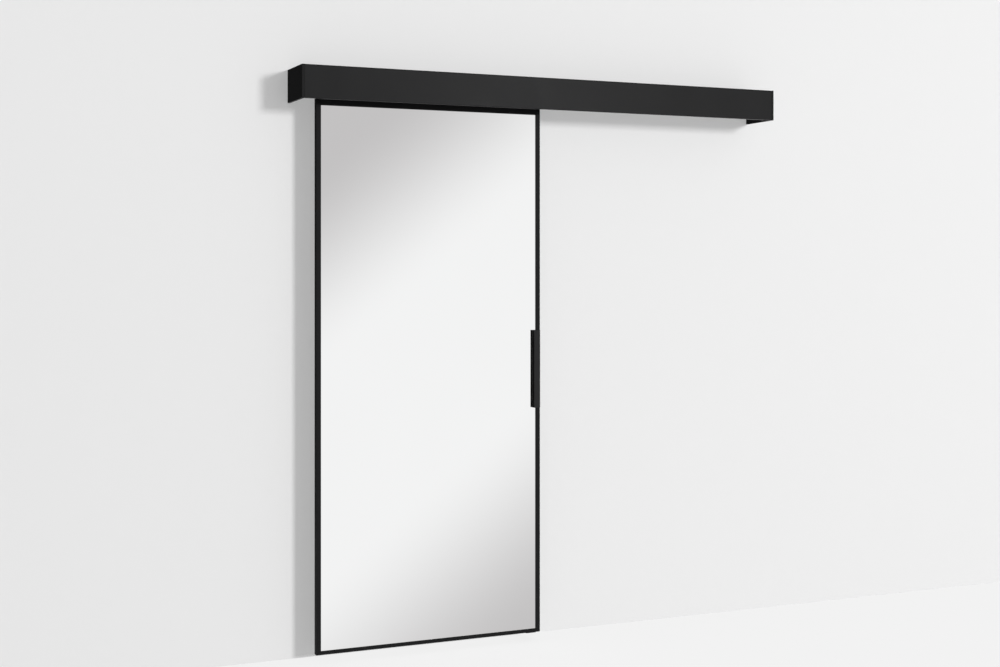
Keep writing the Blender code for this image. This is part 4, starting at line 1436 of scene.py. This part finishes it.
@dataclass(frozen=True)
class Lamp:
    """A square soft lamp, placed by the way that its light comes from."""

    name: str
    aim: Triple
    bearing: float
    lift: float
    distance: float
    size: float
    power: float
    diffuse: bool = True
    glossy: bool = False

    def hang(self) -> None:
        """Hang the lamp and turn it to its aim."""
        data = bpy.data.lights.new(self.name, "AREA")
        data.shape = "SQUARE"
        data.size = self.size
        data.energy = self.power
        bearing, lift = math.radians(self.bearing), math.radians(self.lift)
        level = Vector((math.sin(bearing), -math.cos(bearing), 0.0))
        way = level * math.cos(lift) + Vector((0.0, 0.0, math.sin(lift)))
        lamp = bpy.data.objects.new(self.name, data)
        lamp.location = Vector(self.aim) + way * self.distance
        lamp.rotation_euler = (-way).to_track_quat("-Z", "Y").to_euler()
        lamp.visible_diffuse = self.diffuse
        lamp.visible_glossy = self.glossy
        lamp.visible_camera = False
        bpy.context.scene.collection.objects.link(lamp)
        LOG.info("lamp %s hung at %.1f m", self.name, self.distance)


@dataclass
class Studio:
    """Pale floor, plain backdrop, soft lamps, even surroundings and the camera."""

    floor_level: float = -2.1216
    floor_span: Point = (-8.0, 9.0)
    floor_tone: float = 0.80
    floor_glow: float = 0.78
    wall_tone: float = 0.80
    wall_glow: float = 0.30
    wall_gap: float = 0.0006
    wall_span: Point = (-2.0, 9.0)
    half_width: float = 14.0
    sheet_roughness: float = 0.9
    sky_tone: float = 0.90
    film_width: float = 36.0
    lens: float = 53.68
    yaw: float = 23.84
    shift: float = -0.0640
    eye: Triple = (-2.503, -5.337, -0.687)
    lamps: tuple[Lamp, ...] = (
        Lamp("key", (-0.1, 0.0, -0.9), 25.3, 11.2, 22.0, 3.4, 2850.0),
        Lamp("sheen", (0.05, -0.19, -0.01), 23.5, 6.75, 9.0, 0.12, 66.0, diffuse=False,
             glossy=True),
        Lamp("rear", (0.0, 0.0, -0.8), 157.0, 9.0, 12.0, 7.5, 330.0, glossy=True),
    )
    surround: float = 0.40
    lean: float = 0.90
    band_axis: Triple = (0.7866, 0.3476, -1.0)
    band_rise: Point = (-0.175, -0.035)
    band_fall: Point = (0.100, 0.255)
    wing_left: Point = (-0.62, -0.34)
    wing_right: Point = (0.42, 0.75)
    band_dim: Colour = (0.583, 0.571, 0.573)
    band_bright: Colour = (0.955, 0.955, 0.955)
    flag_tone: float = 0.06
    flag_rear: Point = (-0.35, 0.10)
    flag_low: Point = (-0.32, -0.16)

    def build(self) -> None:
        """Set the stage."""
        bpy.context.scene.view_settings.view_transform = "Standard"
        self._camera()
        for lamp in self.lamps:
            lamp.hang()
        self._surroundings()
        reach, ground, gap = self.half_width, self.floor_level, self.wall_gap
        front, rear = self.floor_span
        foot, top = ground + self.wall_span[0], ground + self.wall_span[1]
        corners = [(-reach, front, ground), (reach, front, ground), (reach, rear, ground),
                   (-reach, rear, ground)]
        floor = self._sheet("floor", corners, self.floor_tone, self.floor_glow)
        corners = [(-reach, gap, foot), (reach, gap, foot), (reach, gap, top), (-reach, gap, top)]
        wall = self._sheet("backdrop", corners, self.wall_tone, self.wall_glow)
        wall.visible_diffuse = False
        wall.visible_shadow = False

    def _camera(self) -> None:
        """Stand the camera at the left, a little below the pelmet, and look along the horizon."""
        data = bpy.data.cameras.new("camera")
        data.sensor_width = self.film_width
        data.lens = self.lens
        data.shift_y = self.shift
        camera = bpy.data.objects.new("camera", data)
        camera.location = self.eye
        camera.rotation_euler = (math.pi / 2, 0.0, -math.radians(self.yaw))
        bpy.context.scene.collection.objects.link(camera)
        bpy.context.scene.camera = camera

    def _surroundings(self) -> None:
        """Light the scene softly, more from the right, with a band that only reflections show."""
        world = bpy.data.worlds.new("studio")
        bpy.context.scene.world = world
        world.use_nodes = True
        graph = Graph(world.node_tree)
        way = graph.node("ShaderNodeTexCoord", output="Generated")
        across = graph.dot(way, (1.0, 0.0, 0.0))
        even = graph.mix(self.surround + self.surround * self.lean * across, BLACK, WHITE)
        camera = graph.node("ShaderNodeLightPath", output="Is Camera Ray")
        glossy = graph.node("ShaderNodeLightPath", output="Is Glossy Ray")
        plain = graph.mix(camera, even, (self.sky_tone,) * 3)
        shown = graph.mix(glossy, plain, self._reflected(graph, way))
        graph.plug(world.node_tree.nodes["Background"].inputs["Color"], shown)

    def _reflected(self, graph: Graph, way: Signal) -> Signal:
        """Return what mirrors show: a slanting bright band, and a dark flag behind.

        Args:
            graph: The world's graph.
            way: The direction that is looked along.

        Returns:
            The reflected colour.
        """
        along, up = graph.dot(way, (0.0, 1.0, 0.0)), graph.dot(way, (0.0, 0.0, 1.0))
        slope = graph.dot(way, self.band_axis)
        band = slope.between(*self.band_rise) * (1.0 - slope.between(*self.band_fall))
        wings = (1.0 - slope.between(*self.wing_left)) + slope.between(*self.wing_right)
        lit = graph.mix(band + wings, self.band_dim, self.band_bright)
        flag = along.between(*self.flag_rear) * up.between(*self.flag_low)
        return graph.mix(flag, lit, (self.flag_tone,) * 3)

    def _sheet(self, name: str, corners: Sequence[Triple], tone: float,
               glow: float) -> bpy.types.Object:
        """Add a plain pale sheet that is seen from its front only and never in reflections.

        Args:
            name: The sheet's name.
            corners: Its corners, anticlockwise from the front.
            tone: Its grey.
            glow: How much of its look is plain white, whatever light falls on it.

        Returns:
            The sheet.
        """
        shape = bmesh.new()
        shape.faces.new([shape.verts.new(corner) for corner in corners])
        mesh = bpy.data.meshes.new(name)
        shape.to_mesh(mesh)
        shape.free()
        material = bpy.data.materials.new(name)
        material.use_nodes = True
        graph = Graph(material.node_tree)
        graph.surface(Base_Color=(tone, tone, tone, 1.0), Roughness=self.sheet_roughness,
                      Specular_IOR_Level=0.0)
        back = graph.node("ShaderNodeNewGeometry", output="Backfacing")
        camera = graph.node("ShaderNodeLightPath", output="Is Camera Ray")
        white = graph.node("ShaderNodeEmission", None, {"Strength": 1.0})
        clear = graph.node("ShaderNodeBsdfTransparent")
        paint = Signal(graph, material.node_tree.nodes["Principled BSDF"].outputs[0])
        front = graph.node("ShaderNodeMixShader", None, {0: camera * glow, 1: paint, 2: white})
        both = graph.node("ShaderNodeMixShader", None, {0: back, 1: front, 2: clear})
        graph.plug(material.node_tree.nodes["Material Output"].inputs["Surface"], both)
        mesh.materials.append(material)
        sheet = bpy.data.objects.new(name, mesh)
        sheet.visible_glossy = False
        sheet.visible_transmission = False
        bpy.context.scene.collection.objects.link(sheet)
        return sheet


def clear_leftovers() -> None:
    """Remove start-up objects that aren't part of the frame."""
    kept = set(frame["nodes"].values()) | set(frame["bodies"].values())
    for leftover in [item for item in bpy.data.objects if item not in kept]:
        bpy.data.objects.remove(leftover)


def main() -> None:
    """Build and dress every sub-assembly, then set the stage."""
    logging.basicConfig(level=logging.INFO, format="%(name)s: %(message)s")
    clear_leftovers()
    parts = (Pelmet(), WallBrackets(), Track(), BottomGuide(), Leaf(), PullHandle(), HangingGear())
    for part in parts:
        part.build()
        part.dress()
        LOG.info("%s done", type(part).__name__)
    Studio().build()
    bpy.context.view_layer.update()


if __name__ == "__main__":
    main()
